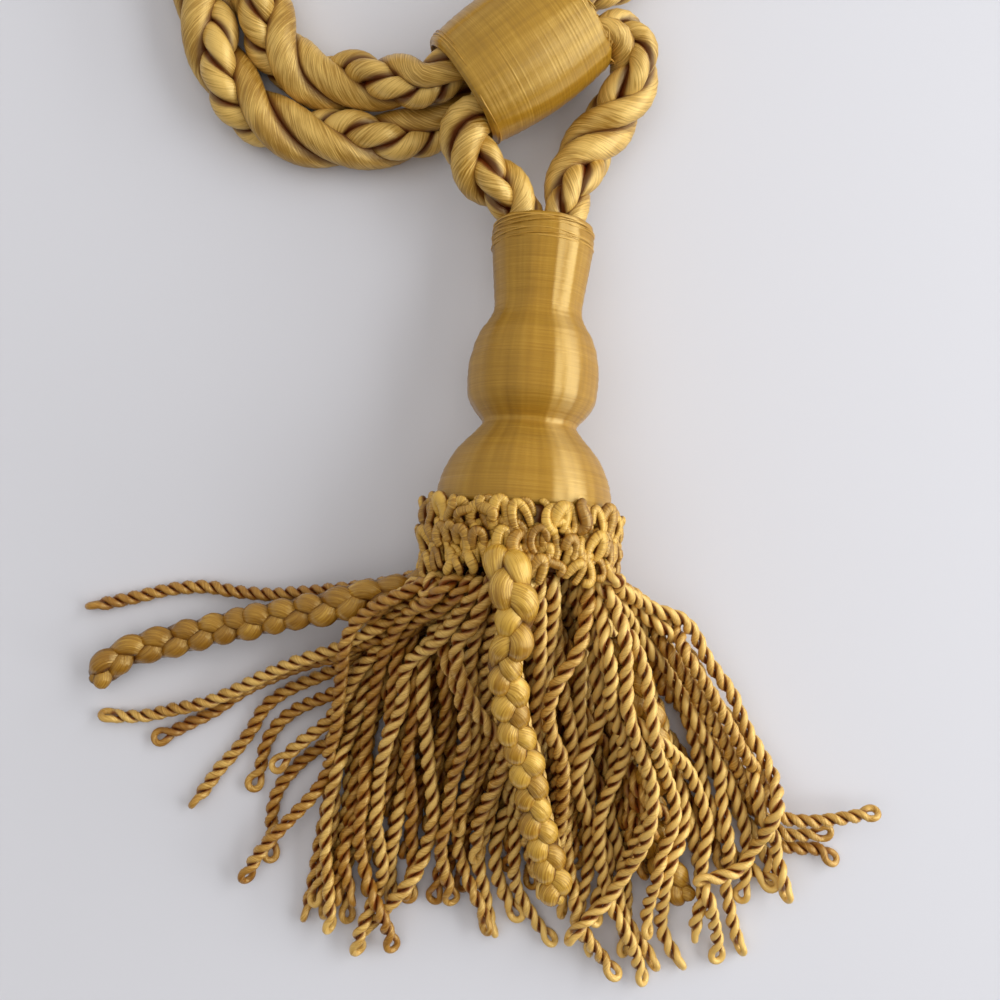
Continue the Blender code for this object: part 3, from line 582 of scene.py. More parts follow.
# Floss drops: x, y, z. They stay where they are, and the bullion settles round them.
FLOSS_DROPS = {
    "floss_drop_front": [
        (-3.2, -0.6, 43.6), (-3.0, -3.2, 48.0), (-2.2, -7.2, 49.6), (-1.0, -12.0, 48.6),
        (-1.6, -18.0, 47.4), (-3.8, -24.0, 44.6), (-2.4, -31.0, 40.8), (-1.8, -38.0, 37.0),
        (0.6, -45.0, 33.0), (2.4, -54.0, 28.2), (3.6, -62.0, 24.0), (6.0, -70.0, 19.6),
        (8.2, -78.0, 16.4), (9.0, -84.5, 14.4),
    ],
    "floss_drop_left": [
        (-19.5, -7.5, 21.0), (-26.8, -9.6, 21.0), (-35.6, -10.9, 20.4), (-43.2, -13.0, 18.4),
        (-50.8, -14.6, 16.0),
        (-58.8, -16.2, 13.0), (-66.6, -18.2, 10.0), (-74.7, -20.0, 7.4), (-83.2, -22.3, 5.4),
        (-91.6, -24.4, 4.6), (-98.5, -27.0, 4.5), (-104.9, -33.0, 4.5),
    ],
    "floss_drop_right": [
        (21.6, -20.0, 30.0), (26.0, -30.0, 26.0), (30.0, -40.0, 22.6), (32.0, -50.0, 16.6),
        (31.4, -60.0, 11.6), (32.6, -70.0, 7.8), (36.4, -79.0, 5.4), (41.4, -87.0, 4.4),
    ],
}


def leaning_axis(turn, dip):
    """The way an axis points: turned from x towards y, and dipped towards the table, in degrees."""
    turn, dip = math.radians(turn), math.radians(dip)
    return np.array((math.cos(turn) * math.cos(dip), math.sin(turn) * math.cos(dip), -math.sin(dip)))


# The tassel's axis, from the ruff's middle up to the neck.
RUFF_CENTRE = np.array((0.0, 0.0, 23.45))
AXIS = leaning_axis(85.6, 6.5)
HEADING = RUFF_CENTRE - 6.0 * AXIS       # middle of the fringe's heading, at the ruff's foot


def bunch_top(x, y):
    """Height of the bunch's upper side at a place on the table."""
    rows = BUNCH.T
    left, right, top = (np.interp(y, rows[0], rows[k]) for k in (1, 2, 3))
    share = np.clip((x - (left + right) / 2) / ((right - left) / 2), -1, 1)
    return np.maximum(3.8, top * np.sqrt(1 - 0.92 * share ** 2))


def upper_drop(level, places):
    """An upper drop's route: its root on the heading's ring, then over the bunch to its eye.

    The deeper a drop lies, the more it sways from side to side in the lower half.
    """
    places = np.array(places, float)
    depth = 1 - 1.9 * (1 - level)
    height = np.maximum(BULLION_RADIUS, depth * (bunch_top(places[:, 0], places[:, 1]) - BULLION_RADIUS))
    route = np.column_stack([places, height])
    if level < 0.94:
        sway = np.clip((-places[:, 1] - 20) / 30, 0, 1) * (1.3 + 4 * (0.94 - level))
        route[:, 0] += sway * np.sin(places[:, 1] / (5.5 + 4 * level) + 2.1 * places[-1, 0])
    root = route[0].copy()
    reach = 19.0 * min(level, 0.97)
    root[1] = -5.0
    root[0] = HEADING[0] + np.clip(root[0] - HEADING[0], -0.9 * reach, 0.9 * reach)
    root[2] = HEADING[2] + math.sqrt(reach ** 2 - (root[0] - HEADING[0]) ** 2)
    return np.vstack([root, route[1:]])


def lower_drops(count, seed):
    """Drops that lie deeper in the bunch, fanned out under the upper ones."""
    rng = np.random.default_rng(seed)
    routes = []
    for number in range(count):
        share = (number + 0.5) / count
        level = 0.08 + 0.42 * ((number * 9) % count) / count
        spread = 2 * share - 1 + rng.uniform(-0.04, 0.04)
        foot_y = -80.0 + rng.uniform(-9, 9) + 4.0 * abs(spread) ** 2
        foot_x = 5.0 + spread * (46.0 if spread < 0 else 50.0) + rng.uniform(-9, 9)
        angle = math.pi / 2 - spread * 1.5 + rng.uniform(-0.9, 0.9)
        reach = 5.0 + 11.0 * level + rng.uniform(-2.0, 2.0)
        root = HEADING + np.array((reach * math.cos(angle), 0.0, reach * (math.sin(angle) * 0.9 - 0.1)))
        rows = [root]
        for k in range(1, 8):
            t = k / 7
            x = root[0] + (foot_x - root[0]) * (t ** 0.8) + rng.normal(0, 2.0) * math.sin(math.pi * t)
            y = root[1] + (foot_y - root[1]) * t
            top = float(bunch_top(np.array(x), np.array(y)))
            rows.append((x, y, max(BULLION_RADIUS, level * (top - 2.0))))
        routes.append(np.array(rows))
    return routes


def near_pairs(points, tree_points, reach):
    """Pairs of a point and a tree point that lie within reach of each other."""
    tree = KDTree(len(tree_points))
    for number, point in enumerate(tree_points):
        tree.insert(point, number)
    tree.balance()
    found = [(i, j) for i, point in enumerate(points) for _, j, _ in tree.find_range(point, reach)]
    return np.array(found, int).reshape(-1, 2)


def keep_lengths(points, link, natural, free):
    """Brings each point and the next back to their natural distance."""
    gap = points[link + 1] - points[link]
    size = np.linalg.norm(gap, axis=1)
    weight = free[link] + free[link + 1]
    move = ((size - natural) / np.maximum(size * np.maximum(weight, 1e-9), 1e-9))[:, None] * gap
    points[link] += move * (free[link] * (weight > 0))[:, None]
    points[link + 1] -= move * (free[link + 1] * (weight > 0))[:, None]


def push_drops_apart(points, pair, rank, free):
    """Parts drops that run into each other, mostly up and down, the higher rank over the lower."""
    a, b = pair[:, 0], pair[:, 1]
    gap = points[b] - points[a]
    size = np.linalg.norm(gap, axis=1)
    short = np.clip(2 * BULLION_RADIUS - size, 0, None)
    over = np.clip(5 * (rank[b] - rank[a]), -1, 1)
    level = np.zeros_like(over)
    way = unit(gap * np.array((0.35, 0.35, 1.2)) + np.stack([level, level, 0.9 * over * size + 1e-6], 1))
    weight = np.maximum(free[a] + free[b], 1e-9)
    push = (0.45 * short / weight)[:, None] * way
    np.add.at(points, a, -push * free[a][:, None])
    np.add.at(points, b, push * free[b][:, None])


def push_off_floss(points, against, floss, floss_side, free):
    """Moves drops out of the floss drops, over or under them."""
    a, b = against[:, 0], against[:, 1]
    gap = points[a] - floss[b]
    size = np.linalg.norm(gap, axis=1)
    short = np.clip(BULLION_RADIUS + FLOSS_RADIUS - size, 0, None)
    lift = (floss_side[b] * size)[:, None] * np.array((0, 0, 1.5))
    way = unit(gap * np.array((0.4, 0.4, 1.0)) + lift)
    np.add.at(points, a, (0.3 * short * free[a])[:, None] * way)


def settle(cords, levels, held, firm, rods, rounds):
    """Lets the drops lie: they keep their length, can't pass into each other, and sink to rest.

    levels say which of two drops lies over the other, held marks points that stay, firm is how
    strongly a point keeps its place seen from above, and rods are the floss drops, each with the
    side that the drops pass it on, over (1) or under (-0.5, more gently).
    """
    points = np.vstack(cords)
    anchor = points.copy()
    sizes = [len(c) for c in cords]
    rank = np.repeat(np.array(levels), sizes)
    owner = np.repeat(np.arange(len(cords)), sizes)
    first = np.concatenate([[0], np.cumsum(sizes)[:-1]])
    spot = np.arange(len(points)) - first[owner]
    free = (~np.concatenate(held)).astype(float)
    firm = np.concatenate(firm)
    linked = np.nonzero(owner[:-1] == owner[1:])[0]
    rest = np.linalg.norm(points[linked + 1] - points[linked], axis=1)
    inner = np.nonzero((owner[:-2] == owner[2:]))[0] + 1
    fall = 0.035 * np.clip((-points[:, 1] - 40) / 40, 0, 1)
    lift = 0.03 * np.clip((points[:, 1] + 90) / 40, 0, 1)
    floss = np.vstack([rod for rod, _ in rods])
    floss_side = np.concatenate([np.full(len(rod), side) for rod, side in rods])
    for step in range(rounds):
        points[:, 2] += (lift * (anchor[:, 2] - points[:, 2]) - fall) * free
        points[:, :2] += (anchor[:, :2] - points[:, :2]) * (firm * free)[:, None]
        middle = (points[inner - 1] + points[inner + 1]) / 2
        points[inner] += 0.025 * free[inner][:, None] * (middle - points[inner])
        for parity in (0, 1):
            chosen = spot[linked] % 2 == parity
            keep_lengths(points, linked[chosen], rest[chosen], free)
        if step % 8 == 0:
            pair = near_pairs(points, points, 2 * BULLION_RADIUS + 1.6)
            a, b = pair[:, 0], pair[:, 1]
            pair = pair[(b > a) & ((owner[a] != owner[b]) | (abs(spot[a] - spot[b]) > 4))]
            against = near_pairs(points, floss, BULLION_RADIUS + FLOSS_RADIUS + 2.0)
        push_drops_apart(points, pair, rank, free)
        push_off_floss(points, against, floss, floss_side, free)
        lowest = np.where(free > 0, BULLION_RADIUS + 0.05, points[:, 2])
        points[:, 2] = np.maximum(points[:, 2], lowest)
    return [points[f:f + s] for f, s in zip(first, sizes)]


def bullion(line, pitch, phase, tone, step, sides, plump=1.0):
    """One drop: a yarn laid Z down the line, round the eye at its foot, and back up."""
    line = respaced(line, step)
    along = lengths_along(line)
    tangent, normal, cross = cross_frames(line)
    length = along[-1]
    stop = length - 3.4          # the twist stops here, and the plies part round the eye
    turn = phase + 2 * math.pi * np.minimum(along, stop) / pitch
    open_share = np.clip((along - stop + 1.2) / 2.6, 0, 1)
    opened = open_share * open_share * (3 - 2 * open_share)
    offset = plump * PLY_OFFSET + (EYE_RADIUS - plump * PLY_OFFSET) * opened
    away = np.cos(turn)[:, None] * normal + np.sin(turn)[:, None] * cross
    keep = along <= length - EYE_RADIUS
    down, out = (line + offset[:, None] * away)[keep], away[keep]
    up = (line - offset[:, None] * away)[keep]
    last = np.nonzero(keep)[0][-1]
    centre, axis, wide = line[last], tangent[last], away[last]
    arc = np.linspace(0, math.pi, 9)[1:-1]
    spokes = np.cos(arc)[:, None] * wide + np.sin(arc)[:, None] * axis
    path = np.vstack([down, centre + EYE_RADIUS * spokes, up[::-1]])
    outward = np.vstack([out, spokes, -out[::-1]])
    # Painted shade on each ply's inner side, less of it where the plies part round the eye.
    shade = 1 - 0.75 * np.concatenate([open_share[keep], np.ones(len(spokes)), open_share[keep][::-1]])
    radius = PLY_RADIUS * plump * (1 + 0.05 * np.sin(np.arange(len(path)) * step / 3.1 + phase))
    spread = 1.0 + 0.12 * np.clip(shade, 0, 1)
    return strand(path, outward, radius, radius * spread, sides, tone, skew=-0.6, shade=shade)


# Hard-twisted viscose: duller than the rope, with short glints on the crown of each ply.
bullion_yarn = satin("hard_twisted_viscose_yarn", "#80460f", "#ae7a2c", "#e4ba66", "#7c3a10",
                     0.36, 0.28, 0.06, tone_share=0.6, hidden_from=0.24, hidden_to=0.64)

drop_routes, drop_levels, held_points, firm_points = [], [], [], []


def hang(route, level, firmness):
    """Adds a drop to those that settle. Its root stays in the heading."""
    held = np.zeros(len(route), bool)
    held[:3] = True
    drop_routes.append(route)
    drop_levels.append(level)
    held_points.append(held)
    firm_points.append(np.full(len(route), firmness))


for level, places in UPPER_DROPS:
    hang(smooth_route(upper_drop(level, places), 2.0), level, 0.22 + 0.2 * max(0.0, level - 0.6) / 0.4)
upper_count = len(drop_routes)
for rows in lower_drops(31, 5):
    hang(smooth_route(rows, 2.0), 0.3, 0.01)
bunch_count = len(drop_routes)
for hidden, free_stretch in STRAY_DROPS.values():
    route = smooth_route(hidden + free_stretch, 2.0)
    hang(route, 0.8, 0.05)
    held_points[-1][np.argmin(np.linalg.norm(route - np.array(free_stretch[0]), axis=1)):] = True
floss_rods = [(smooth_route(rows, 2.0), -0.5 if "front" in name else 1.0)
              for name, rows in FLOSS_DROPS.items()]
drop_lines = settle(drop_routes, drop_levels, held_points, firm_points, floss_rods, 160)

# The right side of the fringe is painted paler, as painted light from the window to the right,
# and what lies deep in the bunch is painted darker, as painted shade.
drop_rng = np.random.default_rng(3)
fringe_parts = {"skirt_upper_left": [], "skirt_upper_right": [], "skirt_lower": []}
for number, line in enumerate(drop_lines[:bunch_count]):
    fine = smooth_route(line[::3], 0.6)
    upper = number < upper_count
    foot_x = line[-1][0]
    tone = drop_rng.uniform(0.15, 0.55) + 0.3 * np.clip(foot_x / 45, -0.4, 1.2) - (0.0 if upper else 0.45)
    part = bullion(fine, drop_rng.uniform(8.0, 9.2), drop_rng.uniform(0, 6.3), tone,
                   0.62 if upper else 0.85, 8 if upper else 6, drop_rng.uniform(0.89, 1.0))
    group = "skirt_lower" if not upper else ("skirt_upper_left" if foot_x < 3 else "skirt_upper_right")
    fringe_parts[group].append(part)
for group_name, parts in fringe_parts.items():
    attach(yarn_object(group_name, rested(parts), bullion_yarn), "skirt")
for stray_name, line in zip(STRAY_DROPS, drop_lines[bunch_count:]):
    fine = smooth_route(line[::3], 0.6)
    part = bullion(fine, drop_rng.uniform(6.6, 7.2), drop_rng.uniform(0, 6.3),
                   drop_rng.uniform(-0.05, 0.3), 0.62, 8, 0.95)
    stray = yarn_object(stray_name + "_drop", rested([part]), bullion_yarn)
    attach(stray, stray_name)


# ---------------------------------------------------------------- floss drops
# Plaits of three hanks of untwisted floss, each hank plump where it crosses in front and
# pinched where it passes behind, tied off in a knob at the foot.
PLAIT_PITCH = 21.0
HANK_HALF_THICK = 2.3
HANK_HALF_WIDE = 2.5

# Untwisted floss: the shiniest yarn of the tassel, its filaments parallel and slightly parted.
floss_silk = satin("untwisted_viscose_floss", "#86560f", "#a97925", "#d6a844", "#54230a",
                   0.23, 0.30, 0.20, hidden_from=0.22, hidden_to=0.6)


def floss_plait(name, rows, seed, start_wide, tone):
    """A plait along the route, lying flat on what is under it and wider at its start."""
    rng = np.random.default_rng(seed)
    line = smooth_route(rows, 0.6)
    tangent = unit(np.gradient(line, axis=0))
    along = lengths_along(line)
    flat_side = unit(np.cross(tangent, (0.0, 0.0, 1.0)))
    up = np.cross(flat_side, tangent)
    swell = 0.88 + start_wide * np.exp(-(along / 15) ** 2)
    foot = 1 - 0.3 * np.clip((along - along[-1] + 4) / 4, 0, 1)
    strands = []
    for hank in range(3):
        angle = 2 * math.pi * (along / PLAIT_PITCH + hank / 3) + 0.25 * np.sin(along / 9 + hank)
        across = 2.3 * swell * (np.sin(angle) + 0.15 * np.sin(3 * angle)) * foot
        over = 1.2 * np.sin(2 * angle) * (1 + 0.25 * np.sin(along / 6 + 2 * hank))
        path = line + across[:, None] * flat_side + over[:, None] * up
        puff = 1 + 0.20 * np.cos(2 * angle - 1.7) + 0.08 * np.sin(along / 3.7 + rng.uniform(0, 6))
        away = unit(0.8 * up + (np.sin(angle) * 0.6)[:, None] * flat_side)
        full = puff * swell * foot
        # Where a hank passes behind the others, sunk adds painted shade to it.
        strands.append(strand(path, away, HANK_HALF_THICK * full, HANK_HALF_WIDE * full, 44,
                              tone + rng.uniform(-0.2, 0.2), skew=0.1,
                              ridges=filament_ridges(len(path), 44, 0.022, rng),
                              sunk=0.24 * (1 - np.sin(2 * angle))))
    piece = yarn_object(name + "_plait", rested(strands), floss_silk)
    attach(piece, name)


for floss_name, floss_seed, floss_wide, floss_tone in (
        ("floss_drop_front", 21, 0.26, 0.32), ("floss_drop_left", 22, 0.06, -0.15),
        ("floss_drop_right", 23, 0.1, 0.0)):
    floss_plait(floss_name, FLOSS_DROPS[floss_name], floss_seed, floss_wide, floss_tone)


# ---------------------------------------------------------------- head
# A turned wooden mould, wound from neck to bell with one satin thread laid turn beside turn.
# The thread hides the wood all over; its turns are fine ridges, and a few have slipped.
# Outline from the neck down: along the axis from the ruff's middle, then the radius.
HEAD_PROFILE = [
    (78.0, 11.4), (76.8, 11.8), (72.5, 12.0), (66.0, 11.3), (58.0, 10.4), (54.5, 11.1),
    (50.2, 13.6), (45.4, 15.0), (41.0, 15.4), (35.7, 15.0), (32.6, 13.4), (29.6, 11.1),
    (27.1, 12.5), (24.2, 15.1), (21.4, 17.3), (17.8, 19.0), (14.3, 20.1), (10.7, 20.5),
    (9.4, 20.4), (8.0, 18.3), (4.0, 18.1),
]
THREAD_PITCH = 0.5               # from one turn of the thread to the next
THREAD_RISE = 0.09               # of a turn's crest over the mean surface
LUMP_RISE = 0.10                 # where a turn has slipped over its neighbour
UV_GIRTH = 100.0                 # of every wound shape on its UV map, near the head's real one


def wound_surface(profile, basis, centre, seed, columns, lumps):
    """A wound shape: one row on each thread's crest and one in each groove between threads.

    Returns its grid of points, rows of columns, and the outline that the rows follow.
    """
    rng = np.random.default_rng(seed)
    outline = smooth_route([(a, r, 0.0) for a, r in profile], THREAD_PITCH / 2)[:, :2]
    rows = len(outline)
    tilt = np.gradient(outline, axis=0)
    facing = unit(np.stack([-tilt[:, 1], tilt[:, 0]], 1))
    if facing[:, 1].mean() < 0:
        facing = -facing
    angle = 2 * math.pi * np.arange(columns) / columns
    row, col = np.meshgrid(np.arange(rows), angle, indexing="ij")
    wander = sum(rng.normal(0, 1) * np.sin(k * col + rng.uniform(0, 6) + row * rng.normal(0, 0.006))
                 for k in (2, 3, 5, 7, 9, 12))
    crest = np.where(np.arange(rows) % 2 == 0, 1.0, -1.0)[:, None]
    rise = THREAD_RISE * crest * (1 + 0.35 * rng.normal(0, 1, (rows, 1)))
    for _ in range(lumps):
        place, where, size = rng.uniform(0, rows), rng.uniform(0, 2 * math.pi), rng.uniform(6, 30)
        round_from_it = np.angle(np.exp(1j * (col - where)))
        near = np.exp(-((row - place) / 3) ** 2) * np.exp(-(round_from_it * size / 8) ** 2)
        rise = rise + LUMP_RISE * rng.choice((-1, 1)) * near
    rise = rise + 0.035 * wander
    radius = outline[:, 1][:, None] + facing[:, 1][:, None] * rise
    height = outline[:, 0][:, None] + facing[:, 0][:, None] * rise
    x, y, z = radius * np.cos(col), radius * np.sin(col), height + np.zeros_like(radius)
    verts = centre + x[..., None] * basis[0] + y[..., None] * basis[1] + z[..., None] * basis[2]
    return verts, outline


def facing_out(points, faces, inside):
    """The faces, turned over if the middle one faces the point inside."""
    a, b, c = points[faces[len(faces) // 2][:3]]
    return faces[:, ::-1] if np.cross(b - a, c - a) @ (a - inside) < 0 else faces


def wound_object(name, verts, closed_rows, material, along, painted_shade_depth=0.0):
    """The grid as a mesh with a UV map: across the thread, then along it.

    Its rows close into a sleeve, or end in a cap at each end.
    """
    rows, columns = verts.shape[:2]
    i, j = np.meshgrid(np.arange(rows if closed_rows else rows - 1), np.arange(columns), indexing="ij")
    i, j = i.ravel(), j.ravel()
    i2, j2 = (i + 1) % rows, (j + 1) % columns
    quads = np.stack([i * columns + j, i2 * columns + j, i2 * columns + j2, i * columns + j2], 1)
    points = verts.reshape(-1, 3)
    middle_row = quads[len(quads) // 2][0] // columns
    quads = facing_out(points, quads, verts[middle_row].mean(0))
    caps = np.zeros((0, 3), int)
    if not closed_rows:
        centre = points.mean(0)
        points = np.vstack([points, verts[0].mean(0), verts[-1].mean(0)])
        k = np.arange(columns)
        n = (k + 1) % columns
        last = (rows - 1) * columns
        caps = np.vstack([np.stack([k, n, np.full(columns, rows * columns)], 1),
                          np.stack([last + n, last + k, np.full(columns, rows * columns + 1)], 1)])
        caps = facing_out(points, caps, centre)
    across = along[quads // columns % rows]
    turn = (quads % columns).astype(float)
    turn = np.where((turn == 0) & (j[:, None] == columns - 1), columns, turn)
    uv = np.stack([across, turn * UV_GIRTH / columns], -1).reshape(-1, 2)
    part = {"verts": points, "quads": quads, "caps": caps, "quad_uv": uv,
            "tone": np.full(len(points), 0.4), "painted_shade_depth": np.full(len(points), painted_shade_depth)}
    return yarn_object(name, [part], material)


def wound_satin_material(name, dark, middle, light, roughness):
    """Satin thread laid side by side: it shines in bands down the shape, across its turns."""
    material = bpy.data.materials.new(name)
    material.use_nodes = True
    tree = material.node_tree
    uv = add_node(tree, "ShaderNodeUVMap", {"uv_map": "yarn"})
    turns = add_node(tree, "ShaderNodeMapping", {"Scale": (1 / THREAD_PITCH, 0.03, 1.0)},
                     {"Vector": (uv, "UV")})
    thread = add_node(tree, "ShaderNodeTexNoise", {"Scale": 1.6, "Detail": 2.0},
                      {"Vector": (turns, "Vector")})
    down = add_node(tree, "ShaderNodeMapping", {"Scale": (0.03, 0.5, 1.0)}, {"Vector": (uv, "UV")})
    bands = add_node(tree, "ShaderNodeTexNoise", {"Scale": 1.0, "Detail": 2.0},
                     {"Vector": (down, "Vector")})
    faint = add_node(tree, "ShaderNodeMath", {"operation": "MULTIPLY", 1: 0.5}, {0: (thread, "Fac")})
    summed = add_node(tree, "ShaderNodeMath", {"operation": "MULTIPLY_ADD", 1: 0.5},
                      {0: (bands, "Fac"), 2: (faint, "Value")})
    ramp = three_tones(tree, (summed, "Value"), (0.3, 0.5, 0.7), (dark, middle, light))
    bump = add_node(tree, "ShaderNodeBump", {"Strength": 0.5, "Distance": 0.03 * MM},
                    {"Height": (thread, "Fac")})
    viscose_shine(tree, ramp.outputs["Color"], bump, roughness, 1.0)
    return material


wound_satin = wound_satin_material("wound_satin_thread", "#8f6214", "#a3751d", "#b5882d", 0.32)
NECK_POCKET = [(70.0, 9.6), (74.0, 9.9), (77.4, 10.1), (78.0, 10.7)]


def basis_along(axis):
    """Two directions across the axis, the first one level, and the axis itself."""
    side = unit(np.cross(axis, (0.0, 0.0, 1.0)))
    return side, np.cross(axis, side), axis


head_basis = basis_along(AXIS)
head_grid, head_outline = wound_surface(NECK_POCKET + HEAD_PROFILE, head_basis, RUFF_CENTRE, 31, 120, 26)
head = wound_object("tassel_head_wound", head_grid, False, wound_satin, lengths_along(head_outline))
loose_thread = satin("loose_satin_thread", "#84580f", "#a8781f", "#c79a44", "#5a290b", 0.4, 0.2, 0.03)
thread_rng = np.random.default_rng(51)


def loose_turn(basis, centre, place, radius, start, sweep, slip, thickness=0.24):
    """A turn of thread that has slipped: it wanders over the wound surface, a little proud of it."""
    share = np.linspace(0, 1, 70)
    around = start + sweep * share
    along = place + slip * np.sin(2.6 * math.pi * share + start) * np.sin(math.pi * share) ** 0.5
    reach = radius + 0.02 + 0.3 * np.sin(math.pi * share) * abs(np.sin(1.7 * around + place))
    path = (centre + (reach * np.cos(around))[:, None] * basis[0]
            + (reach * np.sin(around))[:, None] * basis[1] + along[:, None] * basis[2])
    return strand(path, path - centre - along[:, None] * basis[2], thickness, thickness, 6,
                  thread_rng.uniform(0.1, 1.0), shade=0.5)


neck_turns = [loose_turn(head_basis, RUFF_CENTRE, place, 11.95 - 0.02 * (place - 74) ** 2,
                         thread_rng.uniform(0, 6.3), thread_rng.uniform(2.2, 5.5),
                         thread_rng.uniform(0.2, 0.8), thread_rng.uniform(0.10, 0.17))
              for place in thread_rng.uniform(71.0, 77.2, 16)]
neck_threads = yarn_object("neck_loose_threads", neck_turns, loose_thread)
for piece in (head, neck_threads):
    attach(piece, "tassel_head")


# ---------------------------------------------------------------- slide
# A barrel sleeve wound with the same thread over its outside. It runs on the three ropes and
# closes the loop round the curtain.
SLIDE_CENTRE = np.array((-0.1, 118.2, 15.9))
SLIDE_AXIS = leaning_axis(34.9, 1.5)
SLIDE_PROFILE = [
    (17.2, 12.7), (17.25, 13.5), (16.4, 14.3), (12.3, 15.0), (8.3, 15.5), (4.2, 15.8), (0.5, 15.9),
    (-3.2, 15.8), (-7.3, 15.5), (-11.3, 15.0), (-15.4, 14.3), (-16.2, 13.5), (-16.2, 12.7),
    (-12.0, 12.4), (0.5, 12.4), (13.0, 12.4),
]
slide_basis = basis_along(SLIDE_AXIS)
slide_grid, slide_outline = wound_surface(SLIDE_PROFILE, slide_basis, SLIDE_CENTRE, 32, 104, 10)
# The slide's copy of the same thread is painted lighter than the head's: painted light.
slide_satin_painted_lighter = wound_satin_material("wound_satin_thread_of_the_slide", "#936820", "#a97c22", "#c0943a",
                                   0.28)
slide = wound_object("slide_wound", slide_grid, True, slide_satin_painted_lighter, lengths_along(slide_outline))

# A few turns have come loose at both rims, and cut ends stand out at the outer one.
RIM_PLACES = ((-15.3, 14.35), (-14.6, 14.5), (-15.9, 13.9), (-13.8, 14.65), (-15.6, 14.2),
              (16.3, 14.35), (15.6, 14.5), (16.9, 13.9), (16.5, 14.2), (14.9, 14.6))
rim_turns = [loose_turn(slide_basis, SLIDE_CENTRE, place, radius, thread_rng.uniform(0, 6.3),
                        thread_rng.uniform(1.5, 4.5), thread_rng.uniform(0.1, 0.4),
                        thread_rng.uniform(0.14, 0.22))
             for place, radius in RIM_PLACES]
for number in range(22):
    around = thread_rng.uniform(0, 2 * math.pi)
    spoke = math.cos(around) * slide_basis[0] + math.sin(around) * slide_basis[1]
    lie = -math.sin(around) * slide_basis[0] + math.cos(around) * slide_basis[1]
    share = np.linspace(0, 1, 12)[:, None]
    reach = thread_rng.uniform(0.6, 1.5)
    path = (SLIDE_CENTRE + (13.7 + 0.5 * share * reach) * spoke + (16.6 + reach * share) * slide_basis[2]
            + thread_rng.normal(0, 2.2) * share ** 2 * lie)
    rim_turns.append(strand(path, np.tile(lie, (12, 1)), 0.2, 0.2, 6,
                            thread_rng.uniform(0.7, 1.4), shade=0.4))
slide_threads = yarn_object("slide_loose_threads", rim_turns, loose_thread)
for piece in (slide, slide_threads):
    attach(piece, "slide")


# ---------------------------------------------------------------- ruff
# Satin gimp, a cord core wrapped round and round with floss, crimped into upright loops and
# sewn in uneven rows to a band round the foot of the head, three rows over three.
ruff_gimp = satin("wrapped_satin_gimp", "#643406", "#9c6c24", "#d8aa4a", "#5a240a", 0.34, 0.26, 0.13,
                  tone_share=0.6, hidden_from=0.2, hidden_to=0.6)
ruff_rng = np.random.default_rng(41)
GIMP_STEP = 0.23                 # three of them to a turn of the wrapping


def gimp_loop(around, along, reach, half_wide, half_tall, size):
    """One loop of gimp on the band: its shape in the band's own surface, and its ends tucked in."""
    t = np.linspace(0, 1, 40)
    kind = ruff_rng.choice(("arch", "arch", "hook", "wave", "crescent"))
    if kind == "arch":
        bend = np.pi * (1.25 * t - 0.125)
        flat, tall = half_wide * np.cos(bend), half_tall * (1.55 * np.sin(bend) - 0.6)
    elif kind == "hook":
        bend = np.pi * (1.5 * t - 0.1)
        flat = half_wide * np.cos(bend)
        tall = half_tall * (np.sin(bend) - 0.27 * t * (1 - np.cos(np.pi * t)))
    elif kind == "wave":
        flat, tall = half_wide * 0.8 * np.sin(2 * np.pi * t), half_tall * 1.25 * (1 - 2 * t)
    else:
        bend = np.pi * (1.3 * t - 0.65)
        flat, tall = half_wide * (np.cos(bend) - 0.5), half_tall * 1.05 * np.sin(bend)
    if ruff_rng.uniform() < 0.5:
        flat = -flat
    lean = ruff_rng.uniform(-0.45, 0.45)
    flat, tall = flat * math.cos(lean) - tall * math.sin(lean), flat * math.sin(lean) + tall * math.cos(lean)
    radius = (reach - 1.9 + 1.9 * np.sin(np.pi * np.clip(t, 0.02, 0.98)) ** 0.5
              + 0.5 * np.sin(2 * np.pi * t + lean * 5))
    angle = around + flat / reach
    path = (RUFF_CENTRE + (radius * np.cos(angle))[:, None] * head_basis[0]
            + (radius * np.sin(angle))[:, None] * head_basis[1] + (along + tall)[:, None] * AXIS)
    path = respaced(path, GIMP_STEP)
    spot = path - RUFF_CENTRE
    spot = unit(spot - (spot @ AXIS)[:, None] * AXIS)
    t = np.linspace(0, 1, len(path))
    ridge = np.cos(2 * np.pi * np.arange(len(path)) / 3 + ruff_rng.normal(0, 0.5, len(path)))
    fullness = 0.72 + 0.34 * np.sin(np.pi * t) ** 0.7 + 0.08 * np.sin(7 * t + lean * 9)
    plump = size * (1 + 0.03 * ridge) * fullness
    # Painted shade: each turn of the wrapping is a little lighter on its crest, darker in its groove.
    tone = ruff_rng.uniform(0.0, 0.55) + 0.05 * ridge
    return strand(path, spot, 0.95 * plump, 1.15 * plump, 10, tone, wrapped=True)


BAND_PROFILE = [(8.6, 18.4), (8.4, 20.2), (4.0, 20.6), (0.0, 20.6), (-3.0, 20.0), (-5.2, 19.2), (-5.6, 18.4)]
band_grid, band_outline = wound_surface(BAND_PROFILE, head_basis, RUFF_CENTRE, 33, 60, 0)
# The band lies under the loops and is painted all over in the deep colour: painted shade.
ruff_pieces = [wound_object("ruff_band", band_grid, True, ruff_gimp, lengths_along(band_outline), 0.8)]

